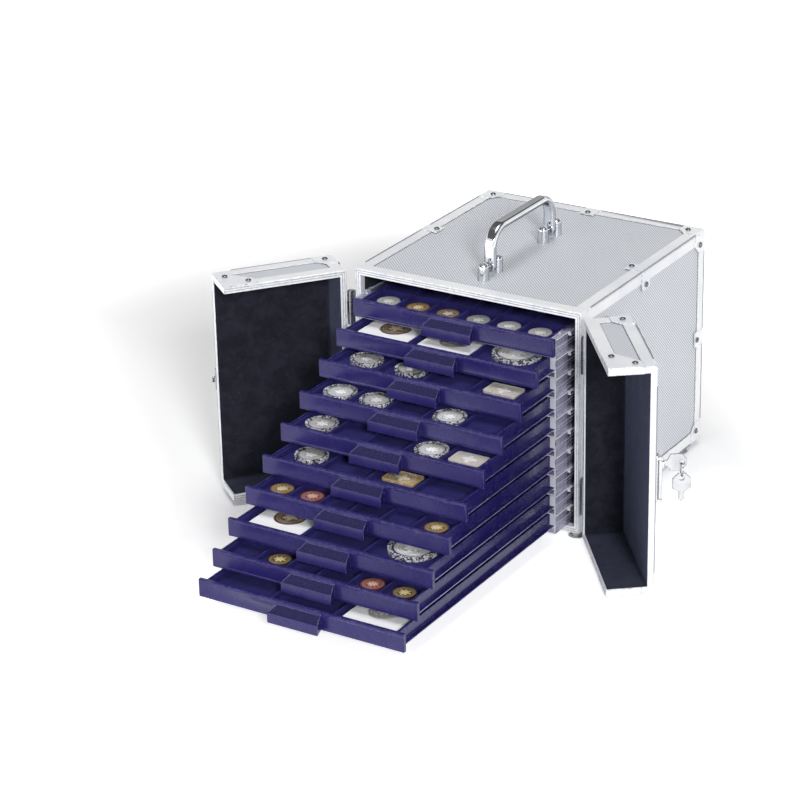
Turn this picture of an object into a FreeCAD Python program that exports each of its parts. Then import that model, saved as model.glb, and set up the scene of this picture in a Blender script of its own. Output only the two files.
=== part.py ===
import FreeCAD, Part
import math
import os

from FreeCAD import Vector

# A coin case: an aluminium-framed box that holds ten stacked coin boxes with pull-out trays.
# Millimetres. X is the width, Y the depth with the front at -Y, Z is up.
# The origin is the centre of the case's underside. The feet reach below it.
# Doors and trays stand as they are used: doors swung open, trays pulled out like stairs.

# Case body. Its width and height follow from the coin boxes that it holds.
case_depth = 279.0
side_room = 8.5              # lining to the stacked boxes, each side
room_above = 14.5            # lining to the top box
profile_wall = 1.2           # metal over the outer face of a panel
profile_leg = 13.5           # how far a profile reaches over a panel
profile_bevel = 2.0          # outer edges
rim_bevel = 0.8              # outer edges at an open rim
panel_thickness = 4.0        # clad board
lining_thickness = 1.8       # velvet on foam
rim_depth = 3.0              # metal at a rim, in front of the board
rim_inner_leg = 8.0          # how far a rim wraps round to the inside
rim_groove = 0.8
rim_groove_depth = 0.5
rim_groove_places = (1.8, 4.2)

# Corner caps and edge clamps
cap_thickness = 0.9
cap_size = 24.0
cap_tip_cut = 10.0           # how far a cap's far corners are cut off
cap_bevel_gain = 0.6         # a cap's bevel over its seat's, in thicknesses
clamp_width = 18.0
clamp_leg = 21.0

# Feet
foot_radius = 5.5
foot_flat_radius = 4.0
foot_height = 5.0
foot_front_setback = 6.5
foot_back_setback = 34.0
foot_side_setback = 7.5

# Stacked coin boxes
box_count = 10
box_width = 236.0
box_pitch = 21.6             # height of one stacked box
box_floor = 1.2
box_side_wall = 1.6
box_back_wall = 1.6
box_reach = 24.0             # how far the stack stands ahead of the case's front
box_back_gap = 0.5
guide_under = 0.8            # guide's top below the box's top
guide_height = 11.4
shelf_width = 2.6
shelf_thickness = 1.2
stud_width = 2.6             # stacking studs on the guides
stud_length = 6.0
stud_height = 1.0            # above the box's own top
stud_play = 0.3
stud_front = 18.0
stud_back = 20.0
lug_reach = 3.5              # small lugs on the outside of a box
lug_length = 9.0
lug_height = 4.0
lug_drop = 1.0
lug_setback = 25.0

# Trays
plate_thickness = 4.0
plate_height = 19.1
plate_bevel = 0.8
plate_gap = 0.5              # plate to box when shut
tray_wall = 1.6
tray_height = 14.0
tray_floor_top = 8.7         # tray floor below the plate's top
tray_floor = 1.5
tray_side_play = 0.5
tray_back_gap = 0.6
flange_reach = 5.2
flange_thickness = 1.2
flange_play = 0.15
rib_thickness = 1.4
rib_count = 3
pull_reach = 12.8
pull_width_plate = 50.0
pull_width_lip = 58.0
pull_drop_plate = 3.0
pull_drop_lip = 8.5

# Velour inserts
insert_drop = 2.0            # divider tops below the plate's top
well_depth = 5.5
well_wall = 3.0
insert_play = 0.2

# Coins, capsules, holders and bars
coin_radius = 12.2
coin_thickness = 2.2
capsule_radius = 17.5
capsule_thickness = 4.6
big_capsule_radius = 25.5
big_capsule_thickness = 5.0
holder_side = 61.0
holder_thickness = 1.8
held_coin_radius = 16.0
held_coin_rise = 0.5         # coin standing proud of its holder
bar_length = 37.0
bar_width = 24.0
bar_thickness = 3.0
bar_corner = 2.5

# Doors
door_depth = 48.6
door_half_gap = 1.2          # door edge to the case's middle plane
door_inset = 1.5             # door top and bottom inside the case's
door_open_angle = 128.2
rim_cap_long = 36.0          # free corner caps at a door's rim
rim_cap_short = 13.0

# Hinges
hinge_length = 38.0
hinge_spread = 156.0         # between the middles of the upper and lower hinge
hinge_leaf_thickness = 1.0
hinge_leaf_width = 12.0
knuckle_radius = 3.3
pin_radius = 1.2
pin_play = 0.06
pin_out = 4.4                # pin outside the case's side
pin_ahead = 1.7              # pin ahead of the case's front
pin_end = 0.6                # pin beyond the outer knuckles
knuckle_gap = 0.4
knuckle_web = 2.0            # metal between leaf and knuckle

# Handle
handle_y = -25.5             # middle of the handle, near the balance point of a full case
handle_span = 126.0          # between the two legs
post_spread = 28.5           # between the two posts of a leg
post_radius = 5.8
post_height = 17.0
post_crown = 1.8             # bevel round a post's top
pivot_height = 11.0          # above the top panel
pivot_radius = 1.75
pivot_play = 0.06
handle_width = 13.0
handle_thickness = 8.0
handle_edge = 2.4            # bevel along the handle's bar
handle_rise = 38.5           # pivot to the middle of the grip
handle_bend = 21.0           # bend radius to the bar's middle

# Lock
lock_z = 122.3
lock_width = 20.0
lock_height = 50.0
lock_thickness = 2.0
lock_edge_gap = 2.5
lock_corner = 2.0
ear_height = 3.0
ear_end = 1.0                # ear to the plate's end
lever_gap = 0.3              # lever to plate, and lever to ears
lever_thickness = 1.8
lever_width = 20.0
lever_finger = 3.0           # bent-up lip at the lever's free edge
lever_pin_radius = 1.2
lever_roll_radius = 2.2
barrel_radius = 4.2
barrel_play = 0.06
barrel_boss_radius = 6.0
barrel_boss_height = 5.0
barrel_reach = 0.8           # barrel out of its boss
barrel_z = 12.7              # barrel above the lock's middle
cam_hole_radius = 4.6
catch_width = 12.0
catch_height = 25.0
catch_thickness = 1.6
catch_hook_reach = 4.5
catch_hook_width = 8.0
catch_hook_wall = 1.2
catch_hook_start = 3.0
catch_hook_length = 6.0
catch_lap = 1.0              # catch plate beyond the door's edge
catch_tongue = 4.2           # tongue beyond the door's edge, in front of the other door
catch_tongue_height = 6.5
catch_tongue_lift = 0.5      # tongue clear of the other door's face

# Keys and ring
key_thickness = 1.8
key_bow_width = 18.0
key_bow_height = 22.0
key_bow_corner = 5.5
key_neck_width = 6.0
key_neck_height = 2.5
key_shoulder = 3.5
key_blade_width = 5.4
key_blade_length = 8.2
key_tip = 2.0
key_stand_off = 0.8          # inserted key's shoulder to the barrel's face
key_slot_play = 0.05
key_hole_radius = 2.6
key_hole_setback = 4.8
ring_radius = 6.0            # inside the wire
ring_wire = 1.2
ring_play = 0.2

# Tray rows: how far each tray is pulled out, its wells across, and what lies in its front row.
# Contents are (kind, column) with columns counted from the left.
tray_pull = (0.0, 33.5, 67.2, 104.4, 139.8, 173.8, 205.7, 237.4, 265.9, 291.0)
tray_columns = (6, 3, 4, 5, 5, 4, 6, 3, 6, 3)
tray_contents = (
    (("coin", 1), ("coin", 2), ("coin", 3), ("coin", 4), ("coin", 5), ("coin", 6)),
    (("holder", 1), ("holder", 2), ("big_capsule", 3)),
    (("capsule", 1), ("capsule", 2), ("bar", 4)),
    (("capsule", 1), ("capsule", 2), ("capsule", 4)),
    (("capsule", 1), ("capsule", 4), ("bar", 5)),
    (("capsule", 1), ("bar", 3)),
    (("coin", 1), ("coin", 2), ("coin", 6)),
    (("holder", 1), ("big_capsule", 3)),
    (("coin", 2), ("coin", 5), ("coin", 6)),
    (("holder", 3),),
)

# Places that follow from the sizes above
rim_width = profile_wall + panel_thickness + lining_thickness
case_width = box_width + 2 * (side_room + rim_width)
case_height = box_count * box_pitch + room_above + 2 * rim_width
half_width = case_width / 2
front = -case_depth / 2
back = case_depth / 2
stack_front = front - box_reach
stack_back = back - rim_width - box_back_gap
stack_top = rim_width + box_count * box_pitch
plate_front = stack_front - plate_gap - plate_thickness
tray_half = box_width / 2 - box_side_wall - flange_reach - tray_side_play
tray_length = stack_back - box_back_wall - tray_back_gap - plate_front
pin_x = half_width + pin_out
pin_y = front - pin_ahead
top_seat = case_height - profile_wall

UP = Vector(0, 0, 1)


def box(x0, x1, y0, y1, z0, z1):
    """A block between two corners."""
    return Part.makeBox(x1 - x0, y1 - y0, z1 - z0, Vector(x0, y0, z0))


def rod(radius, start, direction, length):
    """A round bar from a start point along a direction."""
    return Part.makeCylinder(radius, length, start, direction)


def prism(points, direction):
    """A flat outline pushed along a direction."""
    return Part.Face(Part.makePolygon(points + [points[0]])).extrude(direction)


def fused(shapes):
    """Several touching shapes as one solid."""
    result = shapes[0]
    if len(shapes) > 1:
        result = result.multiFuse(shapes[1:])
    return result.removeSplitter()


def mirrored(shape):
    """The same shape on the other side of the middle plane."""
    return shape.mirror(Vector(0, 0, 0), Vector(1, 0, 0))


def side_of(shape, side):
    """A right-hand shape, or its left-hand twin."""
    return shape if side > 0 else mirrored(shape)


def save(node, shapes):
    """Write the solids of one node to its file."""
    solids = []
    for shape in shapes:
        solids += shape.Solids
    shape = solids[0] if len(solids) == 1 else Part.makeCompound(solids)
    shape.exportStep("parts/" + node + ".step")
    print(node, len(solids), "solids", round(shape.Volume / 1000.0, 1), "cm3")


def middle_of(edge):
    """The middle of an edge's box, by axis."""
    centre = edge.BoundBox.Center
    return (centre.x, centre.y, centre.z)


def bevelled_case(extent, rims):
    """A block with bevelled edges, bevelled less where a rim will be open."""
    block = box(*extent)

    def at_rim(edge):
        return any(abs(middle_of(edge)[axis] - extent[2 * axis + (sign > 0)]) < 0.01
                   for axis, sign in rims)

    block = block.makeChamfer(profile_bevel, [e for e in block.Edges if not at_rim(e)])
    if rims:
        block = block.makeChamfer(rim_bevel, [e for e in block.Edges if at_rim(e)])
    return block


def clad_tray(outer, hollow, rims, windows):
    """Board, lining and metal profiles of a box open at its rims.

    outer and hollow are six-number extents, and a rim is an (axis, sign) side where the box is open.
    """
    def grown(extent, inset, at_rims):
        out = list(extent)
        for axis in range(3):
            for end in range(2):
                sign = 1 if end else -1
                step = at_rims if (axis, sign) in rims else inset
                out[2 * axis + end] -= sign * step
        return out

    past = -2 * case_depth
    whole = bevelled_case(outer, rims)
    cavity = box(*grown(hollow, 0.0, past))
    wall = whole.cut(cavity)
    lined = box(*grown(hollow, -lining_thickness, past))
    board = box(*grown(outer, profile_wall, rim_depth)).cut(lined)
    lining_end = list(outer)
    for axis, sign in rims:
        lining_end[2 * axis + (sign > 0)] -= sign * rim_inner_leg
    lining = lined.common(box(*lining_end)).cut(cavity)
    metal = wall.cut(board).cut(lining)
    for axis, sign in windows:
        cutter = grown(outer, profile_leg, profile_leg)
        cutter[2 * axis + (sign > 0)] = outer[2 * axis + (sign > 0)] + sign
        cutter[2 * axis + (sign < 0)] = outer[2 * axis + (sign > 0)] - sign * profile_wall
        metal = metal.cut(box(*cutter))
    return board, lining, metal


def rim_grooves(x0, x1, z0, z1, y, into, open_left):
    """Shallow grooves that run round a rim's face, open on the left on a door."""
    cutters = []
    for place in rim_groove_places:
        left = x0 - 5 if open_left else x0 + place
        inner_left = x0 - 5 if open_left else x0 + place + rim_groove
        depth = into * rim_groove_depth
        y0, y1 = min(y - into, y + depth), max(y - into, y + depth)
        ring = box(left, x1 - place, y0, y1, z0 + place, z1 - place)
        edge = place + rim_groove
        cutters.append(ring.cut(box(inner_left, x1 - edge, y0, y1, z0 + edge, z1 - edge)))
    return Part.makeCompound(cutters)


def mirror_to(shape, corner, inward):
    """Turn a shape drawn at the origin towards a corner or edge of the case."""
    signs = [s if s else 1 for s in inward]
    matrix = FreeCAD.Matrix(signs[0], 0, 0, corner[0], 0, signs[1], 0, corner[1],
                            0, 0, signs[2], corner[2], 0, 0, 0, 1)
    return shape.transformGeometry(matrix)


def corner_cap(corner, inward):
    """A three-sided cap over a bevelled corner, its far corners cut off."""
    low = -cap_thickness
    far = cap_size
    block = box(low, 2 * far, low, 2 * far, low, 2 * far)
    outer = block.makeChamfer(profile_bevel + cap_bevel_gain * cap_thickness, block.Edges)
    seat = box(0, 3 * far, 0, 3 * far, 0, 3 * far)
    seat = seat.makeChamfer(profile_bevel, seat.Edges)
    trim = box(low, far, low, far, low, far)
    tips = [e for e in trim.Edges if sum(v > far - 0.01 for v in middle_of(e)) == 2]
    trim = trim.makeChamfer(cap_tip_cut, tips)
    return mirror_to(outer.common(trim).cut(seat), corner, inward)


def edge_clamp(axis, middle, inward):
    """An angle plate bent over a profile, half-way along an edge."""
    half = clamp_width / 2
    low = -cap_thickness

    def bent_block(start, end, length, bevel):
        ends = [(-length, length) if i == axis else (start, end) for i in range(3)]
        block = box(*[v for pair in ends for v in pair])
        ridge = [e for e in block.Edges
                 if all(i == axis or abs(middle_of(e)[i] - start) < 0.01 for i in range(3))]
        return block.makeChamfer(bevel, ridge)

    plate = bent_block(low, clamp_leg, half, profile_bevel + cap_bevel_gain * cap_thickness)
    plate = plate.cut(bent_block(0, 2 * clamp_leg, clamp_width, profile_bevel))
    return mirror_to(plate, middle, inward)


def case_body():
    """Panels, profiles, lining, caps, clamps, rivets and feet of the case."""
    outer = (-half_width, half_width, front, back, 0.0, case_height)
    hollow = (-half_width + rim_width, half_width - rim_width, front, back - rim_width,
              rim_width, case_height - rim_width)
    open_front = ((1, -1),)
    windows = ((0, -1), (0, 1), (1, 1), (2, -1), (2, 1))
    board, lining, metal = clad_tray(outer, hollow, open_front, windows)
    skin = profile_wall + panel_thickness
    wide = case_width
    side_zone = box(half_width - skin, wide, -wide, wide, -wide, 2 * wide)
    top_zone = box(-half_width + skin, half_width - skin, -wide, wide, case_height - skin, 2 * wide)
    low_zone = box(-half_width + skin, half_width - skin, -wide, wide, -wide, skin)
    back_zone = box(-half_width + skin, half_width - skin, back - skin, wide,
                    skin, case_height - skin)
    save("top_panel", [board.common(top_zone)])
    save("bottom_panel", [board.common(low_zone)])
    save("side_panels", [board.common(side_zone), board.common(mirrored(side_zone))])
    save("back_panel", [board.common(back_zone)])
    save("case_lining", [lining])

    leg = profile_leg
    rim_zone = box(-wide, wide, -wide, front + leg, -wide, 2 * wide)
    grooves = rim_grooves(-half_width, half_width, 0.0, case_height, front, 1, False)
    bars = [metal.common(rim_zone).cut(grooves)]
    for z0, z1 in ((-wide, leg), (case_height - leg, 2 * wide)):
        run = metal.common(box(half_width - leg, wide, front + leg, wide, z0, z1))
        bars += [run, mirrored(run)]
        bars.append(metal.common(box(-half_width + leg, half_width - leg, back - leg, wide, z0, z1)))
    upright = metal.common(box(half_width - leg, wide, back - leg, wide, leg, case_height - leg))
    bars += [upright, mirrored(upright)]
    save("case_profiles", bars)

    caps = []
    for sx in (-1, 1):
        for z, sz in ((0.0, 1), (case_height, -1)):
            caps.append(corner_cap((sx * half_width, back, z), (-sx, -1, sz)))
    save("corner_caps", caps)

    middle_z = case_height / 2
    clamps = [edge_clamp(2, (sx * half_width, back, middle_z), (-sx, -1, 0)) for sx in (-1, 1)]
    for z, sz in ((0.0, 1), (case_height, -1)):
        clamps.append(edge_clamp(0, (0.0, back, z), (0, -1, sz)))
        clamps += [edge_clamp(1, (sx * half_width, 0.0, z), (-sx, 0, sz)) for sx in (-1, 1)]
    save("edge_clamps", clamps)

    feet = []
    for sx in (-1, 1):
        for y in (front + foot_front_setback, back - foot_back_setback):
            middle = Vector(sx * (half_width - foot_side_setback), y, -foot_height)
            feet.append(Part.makeCone(foot_flat_radius, foot_radius, foot_height, middle, UP))
    save("feet", feet)


def level_top(index):
    """Height of the top of a stacked box, counted from the top of the stack."""
    return stack_top - index * box_pitch


def box_shells():
    """The ten stacked open boxes that the trays run in."""
    half = box_width / 2
    inner = half - box_side_wall
    guide_inner = tray_half + tray_side_play
    shells = []
    for index in range(box_count):
        top = level_top(index)
        low = top - box_pitch
        body = box(-half, half, stack_front, stack_back, low, top)
        body = body.cut(box(-inner, inner, stack_front - 1, stack_back - box_back_wall,
                            low + box_floor, top + 1))
        guide_top = top - guide_under
        shelf_top = top - tray_height - flange_play
        extras = [body]
        for sx in (-1, 1):
            guide = box(guide_inner, inner, stack_front, stack_back - box_back_wall,
                        guide_top - guide_height, guide_top)
            shelf = box(inner - shelf_width, inner, stack_front, stack_back - box_back_wall,
                        shelf_top - shelf_thickness, shelf_top)
            lug_y = stack_front + lug_setback
            lug = box(half, half + lug_reach, lug_y, lug_y + lug_length,
                      top - lug_drop - lug_height, top - lug_drop)
            extras += [side_of(guide, sx), side_of(shelf, sx), side_of(lug, sx)]
        stud_x = (guide_inner + inner) / 2
        holes = []
        for y in (stack_front + stud_front, stack_back - stud_back):
            for x in (-stud_x, stud_x):
                half_w, half_l = stud_width / 2, stud_length / 2
                extras.append(box(x - half_w, x + half_w, y - half_l, y + half_l,
                                  guide_top, top + stud_height))
                half_w, half_l = half_w + stud_play, half_l + stud_play
                holes.append(box(x - half_w, x + half_w, y - half_l, y + half_l,
                                 low - 1, low + box_floor + 1))
        shells.append(fused(extras).cut(Part.makeCompound(holes)))
    save("box_shells", shells)


def tray_shape(top, y):
    """One tray: front plate with its pull, walls, floor, runner flanges and ribs."""
    half = box_width / 2
    plate = box(-half, half, y, y + plate_thickness, top - plate_height, top)
    edges = [e for e in plate.Edges if abs(e.CenterOfMass.y - y) < 0.01
             and abs(e.CenterOfMass.z - top) < 0.01]
    plate = plate.makeChamfer(plate_bevel, edges)
    inside = y + plate_thickness
    end = y + tray_length
    walls = box(-tray_half, tray_half, inside, end, top - tray_height, top - 0.4)
    floor_top = top - tray_floor_top
    inner = tray_half - tray_wall
    walls = walls.cut(box(-inner, inner, inside, end - tray_wall, floor_top, top + 1))
    walls = walls.cut(box(-inner, inner, inside, end - tray_wall, top - tray_height - 1,
                          floor_top - tray_floor))
    flange = box(-tray_half - flange_reach + flange_play, tray_half + flange_reach - flange_play,
                 inside + 4, end, top - tray_height, top - tray_height + flange_thickness)
    flange = flange.cut(box(-inner, inner, inside, end, top - tray_height - 1, top))
    ribs = []
    for i in range(rib_count):
        x = (i + 1) * 2 * inner / (rib_count + 1) - inner
        ribs.append(box(x - rib_thickness / 2, x + rib_thickness / 2, inside, end - tray_wall,
                        top - tray_height, floor_top - tray_floor))
    low = top - plate_height
    wide = pull_width_lip / 2
    narrow = pull_width_plate / 2
    wedge = prism([Vector(0, y + 1, low), Vector(0, y + 1, top - pull_drop_plate),
                   Vector(0, y, top - pull_drop_plate),
                   Vector(0, y - pull_reach, top - pull_drop_lip),
                   Vector(0, y - pull_reach, low)], Vector(2 * wide, 0, 0))
    wedge.translate(Vector(-wide, 0, 0))
    plan = prism([Vector(-narrow, y + 1, low - 1), Vector(-narrow, y, low - 1),
                  Vector(-wide, y - pull_reach, low - 1), Vector(wide, y - pull_reach, low - 1),
                  Vector(narrow, y, low - 1), Vector(narrow, y + 1, low - 1)],
                 Vector(0, 0, plate_height + 2))
    pull = wedge.common(plan)
    return fused([plate, walls, flange, pull] + ribs)


def well_grid(columns):
    """Well pitch, side and row count of an insert with so many columns."""
    inner = tray_half - tray_wall - insert_play
    depth = tray_length - plate_thickness - tray_wall - 2 * insert_play
    pitch = (2 * inner - well_wall) / columns
    rows = int((depth - well_wall) / pitch)
    return pitch, pitch - well_wall, rows


def well_middle(columns, column, row, y):
    """Middle of a well, from the left and from the front."""
    inner = tray_half - tray_wall - insert_play
    pitch, side, rows = well_grid(columns)
    first = y + plate_thickness + insert_play + well_wall
    return (-inner + well_wall + (column - 1) * pitch + side / 2,
            first + (row - 1) * pitch + side / 2)


def insert_shape(columns, top, y):
    """A velour insert with a grid of square wells."""
    inner = tray_half - tray_wall - insert_play
    pitch, side, rows = well_grid(columns)
    pad = box(-inner, inner, y + plate_thickness + insert_play,
              y + tray_length - tray_wall - insert_play, top - tray_floor_top, top - insert_drop)
    wells = []
    for row in range(1, rows + 1):
        for column in range(1, columns + 1):
            x, mid = well_middle(columns, column, row, y)
            wells.append(box(x - side / 2, x + side / 2, mid - side / 2, mid + side / 2,
                             top - insert_drop - well_depth, top))
    return pad.cut(Part.makeCompound(wells))


def disc(x, y, z, radius, thickness):
    """A coin, or a closed coin capsule."""
    return rod(radius, Vector(x, y, z), UP, thickness)


def holder(x, y, z):
    """A square coin holder with its coin in the middle."""
    half = holder_side / 2
    card = box(x - half, x + half, y - half, y + half, z, z + holder_thickness)
    held = disc(x, y, z + holder_thickness, held_coin_radius, held_coin_rise)
    return card.fuse(held)


def bar(x, y, z):
    """A small ingot with its corners cut."""
    block = box(x - bar_length / 2, x + bar_length / 2, y - bar_width / 2, y + bar_width / 2,
                z, z + bar_thickness)
    upright = [e for e in block.Edges if abs(e.BoundBox.ZLength - bar_thickness) < 0.01]
    return block.makeChamfer(bar_corner, upright)


def contents(index, top, y):
    """The coins and other pieces in the front row of one tray."""
    columns = tray_columns[index]
    z = top - insert_drop - well_depth
    makers = {
        "holder": holder,
        "bar": bar,
        "coin": lambda a, b, c: disc(a, b, c, coin_radius, coin_thickness),
        "capsule": lambda a, b, c: disc(a, b, c, capsule_radius, capsule_thickness),
        "big_capsule": lambda a, b, c: disc(a, b, c, big_capsule_radius, big_capsule_thickness),
    }
    pieces = []
    for kind, column in tray_contents[index]:
        x, mid = well_middle(columns, column, 1, y)
        pieces.append(makers[kind](x, mid, z))
    return pieces


def trays():
    """All trays with their inserts and contents, each pulled out to its own place."""
    for index in range(box_count):
        number = "%02d" % (index + 1)
        top = level_top(index)
        y = plate_front - tray_pull[index]
        save("tray_" + number, [tray_shape(top, y)])
        save("tray_insert_" + number, [insert_shape(tray_columns[index], top, y)])
        save("coins_" + number, contents(index, top, y))


def swung(shape, side):
    """A right-hand door piece, turned open about its hinge pin, or its left-hand twin."""
    turned = shape.copy()
    turned.rotate(Vector(pin_x, pin_y, 0), UP, door_open_angle)
    return side_of(turned, side)


def rim_corner_cap(z, up):
    """A plate over a door's free rim corner, turned down over the wall's end."""
    free = door_half_gap
    outline = [Vector(free, front, z), Vector(free + rim_cap_long, front, z),
               Vector(free + rim_cap_long, front - rim_cap_short, z),
               Vector(free + rim_cap_short, front - rim_cap_long, z),
               Vector(free, front - rim_cap_long, z)]
    plate = prism(outline, Vector(0, 0, up * cap_thickness))
    z0, z1 = sorted((z - up * rim_width, z + up * cap_thickness))
    end = box(free - cap_thickness, free, front - rim_cap_long, front, z0, z1)
    return fused([plate, end])


def door(side, name):
    """One door: clad shell, profiles, lining, caps and its hinge leaves."""
    low = door_inset
    high = case_height - door_inset
    face = front - door_depth
    outer = (door_half_gap, half_width, face, front, low, high)
    hollow = (door_half_gap, half_width - rim_width, face + rim_width, front,
              low + rim_width, high - rim_width)
    rims = ((1, 1), (0, -1))
    windows = ((1, -1), (0, 1), (2, -1), (2, 1))
    board, lining, metal = clad_tray(outer, hollow, rims, windows)
    metal = metal.cut(rim_grooves(door_half_gap, half_width, low, high, front, -1, True))
    caps = []
    for z, up in ((high, 1), (low, -1)):
        caps.append(corner_cap((half_width, face, z), (-1, 1, -up)))
        caps.append(rim_corner_cap(z, up))
    save(name + "_shell", [swung(board, side)])
    save(name + "_profiles", [swung(metal, side)])
    save(name + "_lining", [swung(lining, side)])
    save(name + "_caps", [swung(cap, side) for cap in caps])


def hinge_leaf(middle, on_door):
    """One leaf of a right-hand hinge, drawn with the door shut. The pin is fixed in the case's."""
    third = hinge_length / 3
    z0 = middle - hinge_length / 2
    z1 = z0 + hinge_length
    axis = Vector(pin_x, pin_y, 0)

    def knuckle(start, end, web_y):
        barrel = rod(knuckle_radius, axis + Vector(0, 0, start), UP, end - start)
        web = box(half_width, pin_x, web_y, web_y + knuckle_web, start, end)
        return [barrel, web]

    if on_door:
        edge = front - pin_ahead - knuckle_gap
        leaf = box(half_width, half_width + hinge_leaf_thickness, edge - hinge_leaf_width, edge,
                   z0, z1)
        middle_third = knuckle(z0 + third + knuckle_gap / 2, z1 - third - knuckle_gap / 2,
                               pin_y - knuckle_radius)
        hole = rod(pin_radius + pin_play, axis + Vector(0, 0, z0), UP, hinge_length)
        return fused([leaf] + middle_third).cut(hole)
    leaf = box(half_width, half_width + hinge_leaf_thickness, front, front + hinge_leaf_width,
               z0, z1)
    web_y = pin_y + knuckle_radius - knuckle_web
    lower = knuckle(z0, z0 + third - knuckle_gap / 2, web_y)
    upper = knuckle(z1 - third + knuckle_gap / 2, z1, web_y)
    pin = rod(pin_radius, axis + Vector(0, 0, z0 - pin_end), UP, hinge_length + 2 * pin_end)
    return fused([leaf, pin] + lower + upper)


def hinges():
    """Two hinges for each door."""
    middles = [case_height / 2 + sign * hinge_spread / 2 for sign in (-1, 1)]
    save("case_hinge_leaves", [side_of(hinge_leaf(middle, False), side)
                               for side in (-1, 1) for middle in middles])
    for side, name in ((-1, "left_door"), (1, "right_door")):
        save(name + "_hinge_leaves", [swung(hinge_leaf(middle, True), side) for middle in middles])


def handle():
    """Brackets of two posts and a pivot pin, and the bent bar of the folding handle."""
    pivot_z = top_seat + pivot_height
    along = Vector(0, 1, 0)
    bore = pivot_radius + pivot_play
    half_w = handle_width / 2
    half_t = handle_thickness / 2
    brackets, bar_parts, holes = [], [], []
    for end in (-1, 1):
        leg_y = handle_y + end * handle_span / 2
        reach = post_spread / 2
        bracket = [rod(pivot_radius, Vector(0, leg_y - reach, pivot_z), along, 2 * reach)]
        for sign in (-1, 1):
            post = rod(post_radius, Vector(0, leg_y + sign * reach, top_seat), UP, post_height)
            crown = [e for e in post.Edges if middle_of(e)[2] > top_seat + post_height - 0.01]
            bracket.append(post.makeChamfer(post_crown, crown))
        brackets.append(fused(bracket))

        bar_parts.append(rod(half_w, Vector(0, leg_y - half_t, pivot_z), along, handle_thickness))
        cut = handle_edge
        section = [Vector(x, leg_y + y, pivot_z) for x, y in (
            (half_w - cut, half_t), (half_w, half_t - cut), (half_w, cut - half_t),
            (half_w - cut, -half_t), (cut - half_w, -half_t), (-half_w, cut - half_t),
            (-half_w, half_t - cut), (cut - half_w, half_t))]
        bottom = Part.Face(Part.makePolygon(section + [section[0]]))
        straight = handle_rise - handle_bend
        bar_parts.append(bottom.extrude(Vector(0, 0, straight)))
        bottom.translate(Vector(0, 0, straight))
        centre = Vector(0, leg_y - end * handle_bend, pivot_z + straight)
        bar_parts.append(bottom.revolve(centre, Vector(end, 0, 0), 90))
        bottom.rotate(centre, Vector(end, 0, 0), 90)
        if end < 0:
            bar_parts.append(bottom.extrude(Vector(0, handle_span - 2 * handle_bend, 0)))
        holes.append(rod(bore, Vector(0, leg_y - handle_thickness, pivot_z), along,
                         2 * handle_thickness))
    save("handle_posts", brackets)
    save("handle_grip", [fused(bar_parts).cut(Part.makeCompound(holes))])


def key_shape():
    """A flat key in the YZ plane: blade below z = 0, bow above, hole near the bow's top."""
    bow = key_bow_width / 2
    neck = key_neck_width / 2
    blade = key_blade_width / 2
    top = key_bow_height
    corner = key_bow_corner
    shoulder = key_neck_height + key_shoulder
    right = [(0, -key_blade_length), (blade, key_tip - key_blade_length), (blade, 0),
             (neck, key_neck_height), (bow, shoulder), (bow, top - corner), (bow - corner, top)]
    left = [(-y, z) for y, z in reversed(right[1:])]
    plate = prism([Vector(-key_thickness / 2, y, z) for y, z in right + left],
                  Vector(key_thickness, 0, 0))
    eye = rod(key_hole_radius, Vector(-key_thickness, 0, top - key_hole_setback),
              Vector(1, 0, 0), 2 * key_thickness)
    return plate.cut(eye)


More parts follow.
